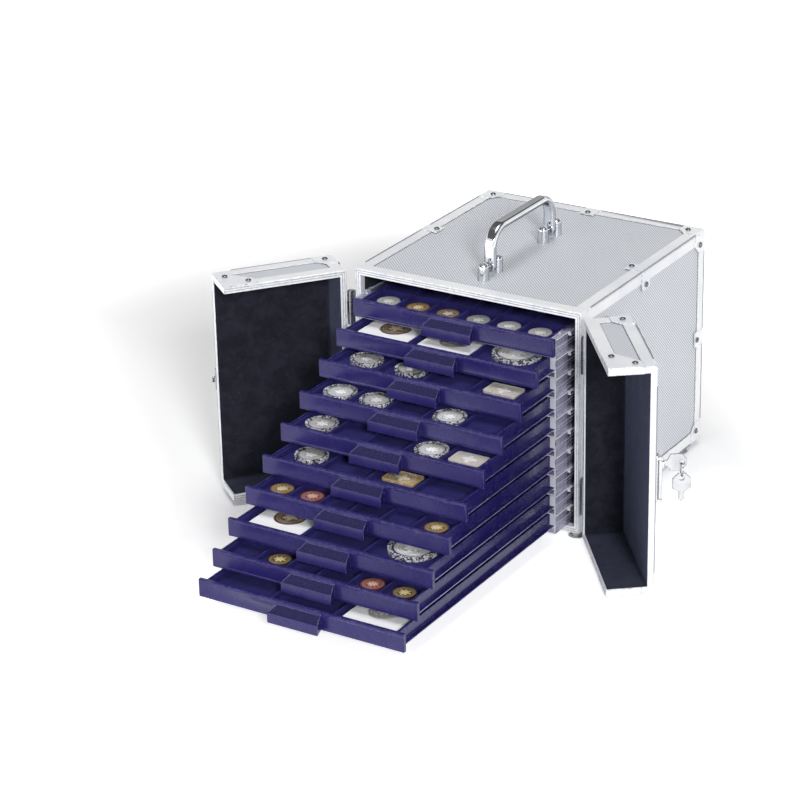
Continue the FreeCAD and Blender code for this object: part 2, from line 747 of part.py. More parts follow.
def lock():
    """The lock with lever, barrel and keys on the right door, and the catch on the left."""
    face = front - door_depth
    out = Vector(0, -1, 0)
    z0 = lock_z - lock_height / 2
    z1 = lock_z + lock_height / 2
    x0 = door_half_gap + lock_edge_gap
    seat = face - lock_thickness
    pivot_x = x0 + lever_roll_radius
    pivot_y = seat - lever_gap - lever_roll_radius
    barrel_x = x0 + lock_width / 2 + lever_roll_radius / 2
    barrel_mid = lock_z + barrel_z

    base = box(x0, x0 + lock_width, seat, face, z0, z1)
    upright = [e for e in base.Edges if abs(e.BoundBox.YLength - lock_thickness) < 0.01]
    pieces = [base.makeChamfer(lock_corner, upright)]
    ear_out = pivot_y - lever_roll_radius
    for z in (z0 + ear_end, z1 - ear_end - ear_height):
        pieces.append(box(x0, x0 + 2 * lever_roll_radius, ear_out, seat, z, z + ear_height))
    pieces.append(rod(lever_pin_radius, Vector(pivot_x, pivot_y, z0 + ear_end), UP,
                      lock_height - 2 * ear_end))
    cam_hole = rod(cam_hole_radius, Vector(barrel_x, face + 1, barrel_mid), out,
                   lock_thickness + 2)
    save("lock_body", [swung(fused(pieces).cut(cam_hole), 1)])

    low = z0 + ear_end + ear_height + lever_gap
    high = z1 - ear_end - ear_height - lever_gap
    plate_y = seat - lever_gap
    plate_face = plate_y - lever_thickness
    free_x = pivot_x + lever_width
    plate = box(pivot_x, free_x, plate_face, plate_y, low, high)
    lip = box(free_x - lever_thickness, free_x, plate_face - lever_finger, plate_face, low, high)
    roll = rod(lever_roll_radius, Vector(pivot_x, pivot_y, low), UP, high - low)
    boss = rod(barrel_boss_radius, Vector(barrel_x, plate_y, barrel_mid), out,
               lever_thickness + barrel_boss_height)
    lever = fused([plate, lip, roll, boss])
    lever = lever.cut(rod(lever_pin_radius + pin_play, Vector(pivot_x, pivot_y, z0), UP,
                          lock_height))
    lever = lever.cut(rod(barrel_radius + barrel_play, Vector(barrel_x, face, barrel_mid), out,
                          2 * door_depth))
    save("lock_lever", [swung(lever, 1)])

    nose = plate_face - barrel_boss_height - barrel_reach
    barrel = rod(barrel_radius, Vector(barrel_x, plate_y, barrel_mid), out, plate_y - nose)
    slot_w = key_thickness / 2 + key_slot_play
    slot_h = key_blade_width / 2 + key_slot_play
    barrel = barrel.cut(box(barrel_x - slot_w, barrel_x + slot_w, nose - 1, face,
                            barrel_mid - slot_h, barrel_mid + slot_h))
    save("lock_barrel", [swung(barrel, 1)])

    # One key is in the barrel, and the other hangs from it on the ring.
    key = key_shape()
    key.rotate(Vector(0, 0, 0), Vector(1, 0, 0), 90)
    key.translate(Vector(barrel_x, nose - key_stand_off, barrel_mid))
    hole_y = nose - key_stand_off - key_bow_height + key_hole_setback
    hang = key_hole_radius - ring_play
    ring_z = barrel_mid - hang - ring_radius
    ring = rod(ring_radius + ring_wire, Vector(barrel_x, hole_y + ring_wire / 2, ring_z), out,
               ring_wire)
    ring = ring.cut(rod(ring_radius, Vector(barrel_x, hole_y + ring_wire, ring_z), out,
                        2 * ring_wire))
    spare = key_shape()
    spare_hole_z = ring_z - ring_radius - hang
    spare.translate(Vector(barrel_x, hole_y, spare_hole_z - key_bow_height + key_hole_setback))
    save("lock_key", [swung(key, 1)])
    save("spare_key", [swung(spare, 1), swung(ring, 1)])

    base_face = face - catch_thickness
    catch = box(door_half_gap - catch_lap, x0 + catch_width, base_face, face,
                lock_z - catch_height / 2, lock_z + catch_height / 2)
    tongue = box(door_half_gap - catch_tongue, x0, base_face - catch_tongue_lift,
                 face - catch_tongue_lift, lock_z - catch_tongue_height / 2,
                 lock_z + catch_tongue_height / 2)
    hook_x = x0 + catch_hook_start
    hook_end = hook_x + catch_hook_length
    tip = face - catch_hook_reach
    wall = catch_hook_wall
    outline = [(hook_x, base_face), (hook_x, tip), (hook_end, tip), (hook_end, tip + wall),
               (hook_x + wall, tip + wall), (hook_x + wall, base_face)]
    hook = prism([Vector(x, y, lock_z - catch_hook_width / 2) for x, y in outline],
                 Vector(0, 0, catch_hook_width))
    save("door_catch", [swung(fused([catch, tongue, hook]), -1)])


os.makedirs("parts", exist_ok=True)
case_body()
box_shells()
trays()
door(-1, "left_door")
door(1, "right_door")
hinges()
handle()
lock()
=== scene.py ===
import math
import bpy
from mathutils import Matrix, Vector


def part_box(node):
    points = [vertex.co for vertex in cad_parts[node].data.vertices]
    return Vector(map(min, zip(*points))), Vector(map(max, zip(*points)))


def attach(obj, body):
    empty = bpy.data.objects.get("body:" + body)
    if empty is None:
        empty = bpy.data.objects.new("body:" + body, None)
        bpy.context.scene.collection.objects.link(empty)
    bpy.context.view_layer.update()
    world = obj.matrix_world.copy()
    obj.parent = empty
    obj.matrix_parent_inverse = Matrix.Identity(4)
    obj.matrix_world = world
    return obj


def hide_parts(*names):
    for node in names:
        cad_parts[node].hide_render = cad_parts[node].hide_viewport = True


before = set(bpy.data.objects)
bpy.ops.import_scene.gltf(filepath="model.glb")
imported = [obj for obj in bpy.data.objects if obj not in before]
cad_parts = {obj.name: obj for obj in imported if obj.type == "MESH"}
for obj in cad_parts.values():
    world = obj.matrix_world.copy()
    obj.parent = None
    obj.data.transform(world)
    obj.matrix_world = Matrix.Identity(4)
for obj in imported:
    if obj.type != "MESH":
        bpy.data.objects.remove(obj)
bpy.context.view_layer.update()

mm = 0.001


# Helpers for selecting, making and finishing pieces

def deselectAll():
    if bpy.context.object and bpy.context.object.mode != "OBJECT":
        bpy.ops.object.mode_set(mode="OBJECT")
    bpy.ops.object.select_all(action="DESELECT")


def activate(piece):
    deselectAll()
    piece.select_set(True)
    bpy.context.view_layer.objects.active = piece


def startEdit(mode="FACE"):
    bpy.ops.object.mode_set(mode="EDIT")
    bpy.ops.mesh.select_mode(type=mode)


def pick(test, mode="FACE"):  # select faces, edges or points of the active piece by a rule on their middle
    piece = bpy.context.object
    bpy.ops.object.mode_set(mode="EDIT")
    bpy.ops.mesh.select_mode(type=mode)
    bpy.ops.mesh.select_all(action="DESELECT")
    bpy.ops.object.mode_set(mode="OBJECT")
    points = piece.data.vertices
    if mode == "FACE":
        for face in piece.data.polygons:
            face.select = test(face.center, face.normal)
    elif mode == "EDGE":
        for edge in piece.data.edges:
            a, b = (points[i].co for i in edge.vertices)
            edge.select = test((a + b) / 2, b - a)
    else:
        for point in points:
            point.select = test(point.co, point.normal)
    bpy.ops.object.mode_set(mode="EDIT")


def settle(piece, name):  # finished pieces sit at the origin with their place in the mesh
    activate(piece)
    bpy.ops.object.transform_apply(location=True, rotation=True, scale=True)
    piece.name = name
    piece.data.name = name
    return piece


def cleanNormals(piece):
    activate(piece)
    startEdit()
    bpy.ops.mesh.select_all(action="SELECT")
    bpy.ops.mesh.remove_doubles(threshold=2e-6)
    bpy.ops.mesh.normals_make_consistent(inside=False)
    bpy.ops.object.mode_set(mode="OBJECT")


def splitDented():  # no face with a dent in its outline, so that none folds over
    bpy.ops.object.mode_set(mode="EDIT")
    bpy.ops.mesh.select_all(action="SELECT")
    bpy.ops.mesh.vert_connect_concave()
    bpy.ops.object.mode_set(mode="OBJECT")


def roundEdges(piece, width, segments=2, angle=30, profile=0.5, clamp=False):
    activate(piece)
    bevel = piece.modifiers.new("roundEdges", "BEVEL")
    bevel.width = width
    bevel.segments = segments
    bevel.profile = profile
    bevel.limit_method = "ANGLE"
    bevel.angle_limit = math.radians(angle)
    bevel.use_clamp_overlap = clamp
    bevel.miter_outer = "MITER_ARC"
    bpy.ops.object.modifier_apply(modifier="roundEdges")
    splitDented()


def smooth(piece, angle=40, weighted=True):
    activate(piece)
    bpy.ops.object.shade_smooth_by_angle(angle=math.radians(angle))
    if weighted:
        even = piece.modifiers.new("evenShade", "WEIGHTED_NORMAL")
        even.keep_sharp = True
        even.weight = 80
        bpy.ops.object.modifier_apply(modifier="evenShade")


def mergedCopy(node, name):  # an own copy of a CAD node's mesh, its loose triangles merged
    piece = bpy.data.objects.new(name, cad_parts[node].data.copy())
    piece.data.name = name
    bpy.context.scene.collection.objects.link(piece)
    piece.data.materials.clear()
    activate(piece)
    startEdit("VERT")
    bpy.ops.mesh.select_all(action="SELECT")
    bpy.ops.mesh.remove_doubles(threshold=2e-6)
    bpy.ops.mesh.dissolve_limited(angle_limit=math.radians(1))
    bpy.ops.object.mode_set(mode="OBJECT")
    splitDented()
    return piece


def ownCopy(piece, name, matrix):  # another piece of the same shape, with its own mesh
    other = bpy.data.objects.new(name, piece.data.copy())
    other.data.name = name
    other.data.transform(matrix)
    if matrix.determinant() < 0:
        other.data.flip_normals()
    bpy.context.scene.collection.objects.link(other)
    return other


def join(pieces, name):
    deselectAll()
    for piece in pieces:
        piece.select_set(True)
    bpy.context.view_layer.objects.active = pieces[0]
    if len(pieces) > 1:
        bpy.ops.object.join()
    return settle(bpy.context.object, name)


def paint(piece, *materials):
    piece.data.materials.clear()
    for material in materials:
        piece.data.materials.append(material)
    return piece


def place(piece, body, *nodes, slot=None):
    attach(piece, body)
    if nodes:
        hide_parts(*nodes)
    return piece


def removePiece(piece):
    mesh = piece.data
    bpy.data.objects.remove(piece)
    bpy.data.meshes.remove(mesh)


# Helpers for node trees

def rgb(red, green, blue):  # a colour as a screen shows it, 0 to 255, as the shader wants it
    def straight(value):
        value = value / 255
        return value / 12.92 if value <= 0.04045 else ((value + 0.055) / 1.055) ** 2.4
    return (straight(red), straight(green), straight(blue), 1.0)


def feed(tree, socket, value):
    if isinstance(value, bpy.types.NodeSocket):
        tree.links.new(value, socket)
    elif value is not None:
        socket.default_value = value


def maths(tree, operation, a, b=None, c=None):
    node = tree.nodes.new("ShaderNodeMath")
    node.operation = operation
    for socket, value in zip(node.inputs, (a, b, c)):
        feed(tree, socket, value)
    return node.outputs[0]


def remap(tree, value, low, high, outLow=0.0, outHigh=1.0, smoothly=True):
    node = tree.nodes.new("ShaderNodeMapRange")
    node.interpolation_type = "SMOOTHSTEP" if smoothly else "LINEAR"
    for label, item in (("Value", value), ("From Min", low), ("From Max", high),
                        ("To Min", outLow), ("To Max", outHigh)):
        feed(tree, node.inputs[label], item)
    return node.outputs["Result"]


def noise(tree, vector, scale, detail=3.0, roughness=0.55, distortion=0.0):
    node = tree.nodes.new("ShaderNodeTexNoise")
    for label, item in (("Vector", vector), ("Scale", scale), ("Detail", detail),
                        ("Roughness", roughness), ("Distortion", distortion)):
        feed(tree, node.inputs[label], item)
    return node.outputs["Fac"]


def blendColours(tree, factor, first, second, mode="MIX"):
    node = tree.nodes.new("ShaderNodeMix")
    node.data_type = "RGBA"
    node.blend_type = mode
    feed(tree, node.inputs["Factor"], factor)
    feed(tree, node.inputs[6], first)
    feed(tree, node.inputs[7], second)
    return node.outputs[2]


def stretch(tree, vector, scale=(1, 1, 1), turn=(0, 0, 0), move=(0, 0, 0)):
    node = tree.nodes.new("ShaderNodeMapping")
    feed(tree, node.inputs["Vector"], vector)
    node.inputs["Location"].default_value = move
    node.inputs["Rotation"].default_value = turn
    node.inputs["Scale"].default_value = scale
    return node.outputs["Vector"]


def bumpFrom(tree, height, distance, strength=1.0, normal=None):
    node = tree.nodes.new("ShaderNodeBump")
    node.inputs["Distance"].default_value = distance
    node.inputs["Strength"].default_value = strength
    feed(tree, node.inputs["Height"], height)
    feed(tree, node.inputs["Normal"], normal)
    return node.outputs["Normal"]


def newGroup(name, inputs, outputs):
    tree = bpy.data.node_groups.new(name, "ShaderNodeTree")
    for label, kind, value in inputs:
        socket = tree.interface.new_socket(label, in_out="INPUT", socket_type="NodeSocket" + kind)
        if value is not None:
            socket.default_value = value
    for label, kind in outputs:
        tree.interface.new_socket(label, in_out="OUTPUT", socket_type="NodeSocket" + kind)
    return tree, tree.nodes.new("NodeGroupInput").outputs, tree.nodes.new("NodeGroupOutput").inputs


def useGroup(tree, group, **values):
    node = tree.nodes.new("ShaderNodeGroup")
    node.node_tree = group
    for label, value in values.items():
        feed(tree, node.inputs[label], value)
    return node.outputs


def newMaterial(name, **settings):
    material = bpy.data.materials.new(name)
    material.use_nodes = True
    tree = material.node_tree
    shader = tree.nodes["Principled BSDF"]
    for label, value in settings.items():
        shader.inputs[label.replace("_", " ")].default_value = value
    coordinates = tree.nodes.new("ShaderNodeTexCoord")
    return material, tree, shader.inputs, coordinates.outputs


# Shared effects

def makeGrainGroup():  # fine noise for roughness and bump, and slow patches from handling
    tree, given, result = newGroup(
        "surfaceGrain",
        [("Vector", "Vector", None), ("Fine Scale", "Float", 900.0), ("Patch Scale", "Float", 14.0)],
        [("Fine", "Float"), ("Patches", "Float")])
    feed(tree, result["Fine"], noise(tree, given["Vector"], given["Fine Scale"], 2.0))
    patches = noise(tree, given["Vector"], given["Patch Scale"], 4.0, 0.6, 0.4)
    feed(tree, result["Patches"], remap(tree, patches, 0.38, 0.66))
    return tree


def makeEdgeGroup():  # mask of outer edges, broken up by noise, that carries painted shade lines on metal and painted highlights on moulded plastic
    tree, given, result = newGroup(
        "edgeShadeAndHighlight", [("Vector", "Vector", None), ("Width", "Float", 0.0006)], [("Mask", "Float")])
    bevel = tree.nodes.new("ShaderNodeBevel")
    bevel.samples = 4
    feed(tree, bevel.inputs["Radius"], given["Width"])
    geometry = tree.nodes.new("ShaderNodeNewGeometry")
    likeness = tree.nodes.new("ShaderNodeVectorMath")
    likeness.operation = "DOT_PRODUCT"
    feed(tree, likeness.inputs[0], bevel.outputs["Normal"])
    feed(tree, likeness.inputs[1], geometry.outputs["Normal"])
    edge = remap(tree, likeness.outputs["Value"], 0.995, 0.86)
    broken = remap(tree, noise(tree, given["Vector"], 240.0, 3.0), 0.42, 0.62)
    feed(tree, result["Mask"], maths(tree, "MULTIPLY", edge, broken))
    return tree


def makeDiamondGroup():  # small raised diamonds, laid out along whichever way a panel faces
    tree, given, result = newGroup(
        "diamondEmboss",
        [("Vector", "Vector", None), ("Normal", "Vector", None), ("Pitch", "Float", 0.0024)],
        [("Height", "Float")])
    facing = tree.nodes.new("ShaderNodeVectorMath")
    facing.operation = "ABSOLUTE"
    feed(tree, facing.inputs[0], given["Normal"])
    way = tree.nodes.new("ShaderNodeSeparateXYZ")
    feed(tree, way.inputs[0], facing.outputs[0])
    at = tree.nodes.new("ShaderNodeSeparateXYZ")
    feed(tree, at.inputs[0], given["Vector"])
    sideways = maths(tree, "GREATER_THAN", way.outputs["X"], 0.7)
    upwards = maths(tree, "GREATER_THAN", way.outputs["Z"], 0.7)

    def choose(mask, first, second):
        step = maths(tree, "SUBTRACT", second, first)
        return maths(tree, "MULTIPLY_ADD", mask, step, first)

    across = choose(sideways, at.outputs["X"], at.outputs["Y"])
    along = choose(upwards, at.outputs["Z"], at.outputs["Y"])
    waves = []
    for operation in ("ADD", "SUBTRACT"):
        slanted = maths(tree, "DIVIDE", maths(tree, operation, across, along), given["Pitch"])
        waves.append(remap(tree, maths(tree, "PINGPONG", slanted, 0.5), 0.08, 0.42))
    feed(tree, result["Height"], maths(tree, "MULTIPLY_ADD", waves[0], 0.74, maths(tree, "MULTIPLY", waves[1], 0.26)))
    return tree


def makeNapGroup():  # pile of velvet or velour: fibres, their lie in patches, and specks of lint
    tree, given, result = newGroup(
        "pileNap", [("Vector", "Vector", None), ("Fibre Scale", "Float", 2200.0),
                    ("Lie Scale", "Float", 28.0)],
        [("Fibres", "Float"), ("Lie", "Float"), ("Lint", "Float")])
    feed(tree, result["Fibres"], noise(tree, given["Vector"], given["Fibre Scale"], 2.0, 0.7))
    lie = noise(tree, given["Vector"], given["Lie Scale"], 5.0, 0.62, 0.6)
    feed(tree, result["Lie"], remap(tree, lie, 0.36, 0.68))
    lint = noise(tree, given["Vector"], 420.0, 1.0)
    feed(tree, result["Lint"], remap(tree, lint, 0.74, 0.80))
    return tree


def makeReliefGroup():  # a plain struck rosette inside a ring of beads, drawn on a coin's own map
    tree, given, result = newGroup(
        "coinRelief", [("Map", "Vector", None), ("Petals", "Float", 8.0), ("Beads", "Float", 48.0)],
        [("Height", "Float")])
    at = tree.nodes.new("ShaderNodeSeparateXYZ")
    feed(tree, at.inputs[0], stretch(tree, given["Map"], (2, 2, 1), move=(-1, -1, 0)))
    x, y = at.outputs["X"], at.outputs["Y"]
    radius = maths(tree, "SQRT", maths(tree, "ADD", maths(tree, "MULTIPLY", x, x),
                                       maths(tree, "MULTIPLY", y, y)))
    angle = maths(tree, "ARCTAN2", y, x)
    petal = maths(tree, "COSINE", maths(tree, "MULTIPLY", angle, given["Petals"]))
    reach = maths(tree, "MULTIPLY_ADD", petal, 0.13, 0.42)
    rosette = remap(tree, radius, maths(tree, "SUBTRACT", reach, 0.10), reach, 1.0, 0.0)
    veins = maths(tree, "ABSOLUTE", maths(tree, "SINE", maths(tree, "MULTIPLY", angle, given["Petals"])))
    rosette = maths(tree, "MULTIPLY", rosette, maths(tree, "MULTIPLY_ADD", veins, 0.5, 0.5))
    heart = remap(tree, radius, 0.10, 0.16, 1.0, 0.0)
    beads = maths(tree, "COSINE", maths(tree, "MULTIPLY", angle, given["Beads"]))
    band = maths(tree, "MULTIPLY", remap(tree, radius, 0.76, 0.80), remap(tree, radius, 0.84, 0.88, 1.0, 0.0))
    beads = maths(tree, "MULTIPLY", remap(tree, beads, -0.2, 0.5), band)
    wreath = maths(tree, "SINE", maths(tree, "ADD", maths(tree, "MULTIPLY", angle, 26.0),
                                       maths(tree, "MULTIPLY", radius, 40.0)))
    ring = maths(tree, "MULTIPLY", remap(tree, radius, 0.60, 0.63), remap(tree, radius, 0.70, 0.73, 1.0, 0.0))
    wreath = maths(tree, "MULTIPLY", remap(tree, wreath, -0.1, 0.8), ring)
    cells = tree.nodes.new("ShaderNodeTexVoronoi")
    feed(tree, cells.inputs["Vector"], given["Map"])
    cells.inputs["Scale"].default_value = 22.0
    leaves = maths(tree, "MULTIPLY", remap(tree, cells.outputs["Distance"], 0.55, 0.15),
                   remap(tree, radius, 0.56, 0.60, 1.0, 0.0))
    total = maths(tree, "MAXIMUM", maths(tree, "MAXIMUM", rosette, heart), maths(tree, "MAXIMUM", beads, wreath))
    total = maths(tree, "MAXIMUM", total, maths(tree, "MULTIPLY", leaves, 0.75))
    feed(tree, result["Height"], total)
    return tree


grainGroup = makeGrainGroup()
edgeGroup = makeEdgeGroup()
diamondGroup = makeDiamondGroup()
napGroup = makeNapGroup()
reliefGroup = makeReliefGroup()
print("shared effects ready")


# Materials

openAngle = 128.2  # how far the doors stand open, in degrees


def makeCladding(name, turn):  # silver laminate with the fine diagonal emboss, its hollows painted darker as painted shade; turn lines it up with a door
    material, tree, shader, given = newMaterial(name, Metallic=0.12, Roughness=0.45)
    turned = stretch(tree, given["Object"], turn=(0, 0, turn))
    facing = stretch(tree, given["Normal"], turn=(0, 0, turn))
    diamonds = useGroup(tree, diamondGroup, Vector=turned, Normal=facing, Pitch=3.6 * mm)["Height"]
    grain = useGroup(tree, grainGroup, **{"Vector": turned, "Fine Scale": 1500.0, "Patch Scale": 9.0})
    # painted shade: the emboss's low parts darker, its raised diamonds pale
    base = blendColours(tree, diamonds, rgb(160, 164, 175), rgb(238, 240, 244))
    dull = blendColours(tree, maths(tree, "MULTIPLY", grain["Patches"], 0.18), base, rgb(196, 200, 208))
    feed(tree, shader["Base Color"], dull)
    rough = maths(tree, "MULTIPLY_ADD", grain["Fine"], 0.16, 0.42)
    feed(tree, shader["Roughness"], maths(tree, "MULTIPLY_ADD", grain["Patches"], 0.08, rough))
    feed(tree, shader["Normal"], bumpFrom(tree, diamonds, 0.3 * mm, 0.8))
    return material


def makeAluminium(name, colour, roughness, edge, edgeWidth):  # anodised metal, with painted shade: a darker line at its edges
    material, tree, shader, given = newMaterial(name, Metallic=0.18)
    grain = useGroup(tree, grainGroup, **{"Vector": given["Object"], "Fine Scale": 1400.0, "Patch Scale": 11.0})
    paintedEdge = useGroup(tree, edgeGroup, Vector=given["Object"], Width=edgeWidth)["Mask"]
    red, green, blue = colour
    base = blendColours(tree, grain["Patches"], rgb(red, green, blue), rgb(red - 12, green - 11, blue - 8))
    # painted shade: the edge colour darkens a thin line along each edge
    feed(tree, shader["Base Color"], blendColours(tree, paintedEdge, base, edge))
    rough = maths(tree, "MULTIPLY_ADD", grain["Fine"], 0.14, roughness - 0.07)
    feed(tree, shader["Roughness"], maths(tree, "MULTIPLY_ADD", grain["Patches"], 0.07, rough))
    feed(tree, shader["Normal"], bumpFrom(tree, grain["Fine"], 0.012 * mm, 0.6))
    return material


def makePlate(name, colour, roughness, metallic=1.0, scratch=0.006, paintedDarkness=0.75, outline=0.0):  # plated parts: chrome, nickel, zinc
    material, tree, shader, given = newMaterial(name, Metallic=metallic)
    grain = useGroup(tree, grainGroup, **{"Vector": given["Object"], "Fine Scale": 700.0, "Patch Scale": 45.0})
    red, green, blue = colour
    base = blendColours(tree, grain["Patches"], rgb(red, green, blue), rgb(red - 14, green - 14, blue - 12))
    turned = tree.nodes.new("ShaderNodeLayerWeight")  # painted reflection: colour darkened where the plating turns away from view, standing in for the dark studio it would mirror
    turned.inputs["Blend"].default_value = 0.5
    dark = remap(tree, turned.outputs["Facing"], 0.45, 0.75, 0.0, paintedDarkness)
    base = blendColours(tree, dark, base, rgb(24, 25, 30))
    # painted shade: dark outlines along the edges
    if outline:
        edges = useGroup(tree, edgeGroup, Vector=given["Object"], Width=outline)["Mask"]
        base = blendColours(tree, edges, base, rgb(44, 45, 50))
    feed(tree, shader["Base Color"], base)
    feed(tree, shader["Roughness"], maths(
        tree, "ADD", maths(tree, "MULTIPLY_ADD", grain["Fine"], 0.06, roughness),
        maths(tree, "MULTIPLY", grain["Patches"], 0.05)))
    feed(tree, shader["Normal"], bumpFrom(tree, grain["Fine"], scratch * mm, 0.5))
    return material


def makePile(name, dark, light, sheen, sheenTint, fibre, lie, depth):  # velvet lining, velour inserts
    material, tree, shader, given = newMaterial(
        name, Roughness=0.95, Sheen_Weight=sheen, Sheen_Roughness=0.35, Sheen_Tint=sheenTint,
        Specular_IOR_Level=0.2)
    nap = useGroup(tree, napGroup, **{"Vector": given["Object"], "Fibre Scale": fibre, "Lie Scale": lie})
    shade = maths(tree, "MULTIPLY_ADD", nap["Fibres"], 0.70, maths(tree, "MULTIPLY", nap["Lie"], 0.30))
    base = blendColours(tree, shade, dark, light)
    base = blendColours(tree, maths(tree, "MULTIPLY", nap["Lint"], 0.12), base, rgb(150, 150, 165))
    feed(tree, shader["Base Color"], base)
    feed(tree, shader["Roughness"], maths(tree, "MULTIPLY_ADD", nap["Lie"], -0.12, 0.97))
    feed(tree, shader["Normal"], bumpFrom(tree, nap["Fibres"], depth * mm, 0.8))
    return material


def makeMoulded(name, colour, pale, roughness, coat=0.0, coatIor=1.5):  # moulded polystyrene, its edges painted pale as a painted highlight
    material, tree, shader, given = newMaterial(name, Roughness=roughness, IOR=1.55, Coat_Weight=coat,
                                                Coat_Roughness=0.05, Coat_IOR=coatIor, Specular_IOR_Level=0.28)
    grain = useGroup(tree, grainGroup, **{"Vector": given["Object"], "Fine Scale": 1100.0, "Patch Scale": 24.0})
    paintedEdge = useGroup(tree, edgeGroup, Vector=given["Object"], Width=0.5 * mm)["Mask"]
    base = blendColours(tree, maths(tree, "MULTIPLY", grain["Patches"], 0.02), colour, pale)
    # painted highlight: edges blended toward the pale colour
    feed(tree, shader["Base Color"], blendColours(tree, maths(tree, "MULTIPLY", paintedEdge, 0.8), base, pale))
    feed(tree, shader["Roughness"], maths(
        tree, "ADD", maths(tree, "MULTIPLY_ADD", grain["Fine"], 0.05, roughness),
        maths(tree, "MULTIPLY", grain["Patches"], 0.02)))
    feed(tree, shader["Normal"], bumpFrom(tree, grain["Fine"], 0.004 * mm, 0.2))
    return material


def makeClear(name, colour, roughness, transmission, ior=1.49, ridges=0.0):  # clear and smoky plastic
    material, tree, shader, given = newMaterial(
        name, Base_Color=colour, IOR=ior, Transmission_Weight=transmission, Metallic=0.0)
    grain = useGroup(tree, grainGroup, **{"Vector": given["Object"], "Fine Scale": 500.0, "Patch Scale": 40.0})
    light = tree.nodes.new("ShaderNodeLightPath")  # lamps shine through clear plastic
    feed(tree, shader["Alpha"], maths(tree, "MULTIPLY_ADD", light.outputs["Is Shadow Ray"], -0.9, 1.0))
    feed(tree, shader["Roughness"], maths(tree, "MULTIPLY_ADD", grain["Patches"], 0.06, roughness))
    bump = bumpFrom(tree, grain["Patches"], 0.02 * mm, 0.3)
    if ridges:  # milled ridges: a real bump, with each ridge cell painted dark or pale as a painted glint
        cells = tree.nodes.new("ShaderNodeTexVoronoi")
        feed(tree, cells.inputs["Vector"], given["Object"])
        cells.inputs["Scale"].default_value = ridges
        bump = bumpFrom(tree, cells.outputs["Distance"], 1.2 * mm, 1.0, bump)
        paintedGlint = remap(tree, cells.outputs["Color"], 0.35, 0.65)
        feed(tree, shader["Base Color"], blendColours(tree, paintedGlint, rgb(70, 70, 84), colour))
    feed(tree, shader["Normal"], bump)
    return material


def makeCoinMetal(name, colour, patina, roughness, petals, beads):  # struck metal, darker in its hollows
    material, tree, shader, given = newMaterial(name, Metallic=0.25)
    grain = useGroup(tree, grainGroup, **{"Vector": given["Object"], "Fine Scale": 1800.0, "Patch Scale": 120.0})
    relief = useGroup(tree, reliefGroup, Map=given["UV"], Petals=petals, Beads=beads)["Height"]
    base = blendColours(tree, remap(tree, relief, 0.05, 0.45), patina, colour)
    base = blendColours(tree, maths(tree, "MULTIPLY", grain["Patches"], 0.15), base, patina)
    feed(tree, shader["Base Color"], base)
    feed(tree, shader["Roughness"], maths(
        tree, "ADD", maths(tree, "MULTIPLY_ADD", grain["Fine"], 0.08, roughness),
        maths(tree, "MULTIPLY", grain["Patches"], 0.12)))
    feed(tree, shader["Normal"], bumpFrom(tree, relief, 0.6 * mm, 1.0,
                                          bumpFrom(tree, grain["Fine"], 0.01 * mm, 0.4)))
    return material


claddingCase = makeCladding("claddingCase", 0.0)
claddingLeft = makeCladding("claddingLeft", math.radians(openAngle))
claddingRight = makeCladding("claddingRight", math.radians(-openAngle))
frameAluminium = makeAluminium("frameAluminium", (240, 241, 243), 0.46, rgb(138, 141, 149), 0.9 * mm)
grooveMetal = makeAluminium("grooveMetal", (176, 179, 184), 0.45, rgb(176, 179, 184), 0.3 * mm)
cornerMetal = makeAluminium("cornerMetal", (150, 153, 160), 0.40, rgb(120, 123, 130), 0.3 * mm)
capMetal = makeAluminium("capMetal", (238, 239, 242), 0.28, rgb(74, 76, 84), 1.6 * mm)
rivetMetal = makePlate("rivetMetal", (120, 122, 127), 0.20)
hingeZinc = makePlate("hingeZinc", (138, 140, 146), 0.24)
chromePlate = makePlate("chromePlate", (226, 228, 232), 0.03, scratch=0.001, paintedDarkness=0.9)
lockNickel = makePlate("lockNickel", (218, 219, 222), 0.14, outline=1.0 * mm)
barrelNickel = makePlate("barrelNickel", (186, 176, 150), 0.22)
keyNickel = makePlate("keyNickel", (204, 205, 208), 0.18, outline=1.8 * mm)
velvetLining = makePile("velvetLining", rgb(8, 9, 14), rgb(40, 42, 55), 0.9, rgb(138, 146, 184), 900.0, 60.0, 0.45)
velourNavy = makePile("velourNavy", rgb(16, 14, 54), rgb(44, 40, 108), 0.35, rgb(110, 108, 200), 900.0, 60.0, 0.45)
trayPlastic = makeMoulded("trayPlastic", rgb(36, 30, 92), rgb(168, 162, 206), 0.24, 0.10, 1.5)
# painted reflection: a paler copy of the tray plastic for the trays' outer side walls, standing in for the bright floor
# they mirror
traySide = makeMoulded("traySide", rgb(112, 108, 150), rgb(196, 192, 222), 0.16, 1.0, 1.9)
# painted light and shade: one clear plastic in three copies, darker inside the case, paler where the boxes stand out of
# it, palest on ends and lips
boxPlastic = makeClear("boxPlastic", rgb(150, 148, 168), 0.05, 0.88)
boxLitEnd = makeClear("boxLitEnd", rgb(190, 190, 208), 0.12, 0.70)
boxEdge = makeClear("boxEdge", rgb(232, 232, 240), 0.10, 0.34)
capsuleClear = makeClear("capsuleClear", rgb(250, 251, 252), 0.02, 1.0)
capsuleRim = makeClear("capsuleRim", rgb(252, 252, 254), 0.04, 0.45, ridges=600.0)
holderFilm = makeClear("holderFilm", rgb(252, 252, 252), 0.06, 1.0)
footRubber = makeMoulded("footRubber", rgb(176, 178, 180), rgb(206, 207, 208), 0.45)
holderCard = makeMoulded("holderCard", rgb(252, 252, 253), rgb(254, 254, 254), 0.55)
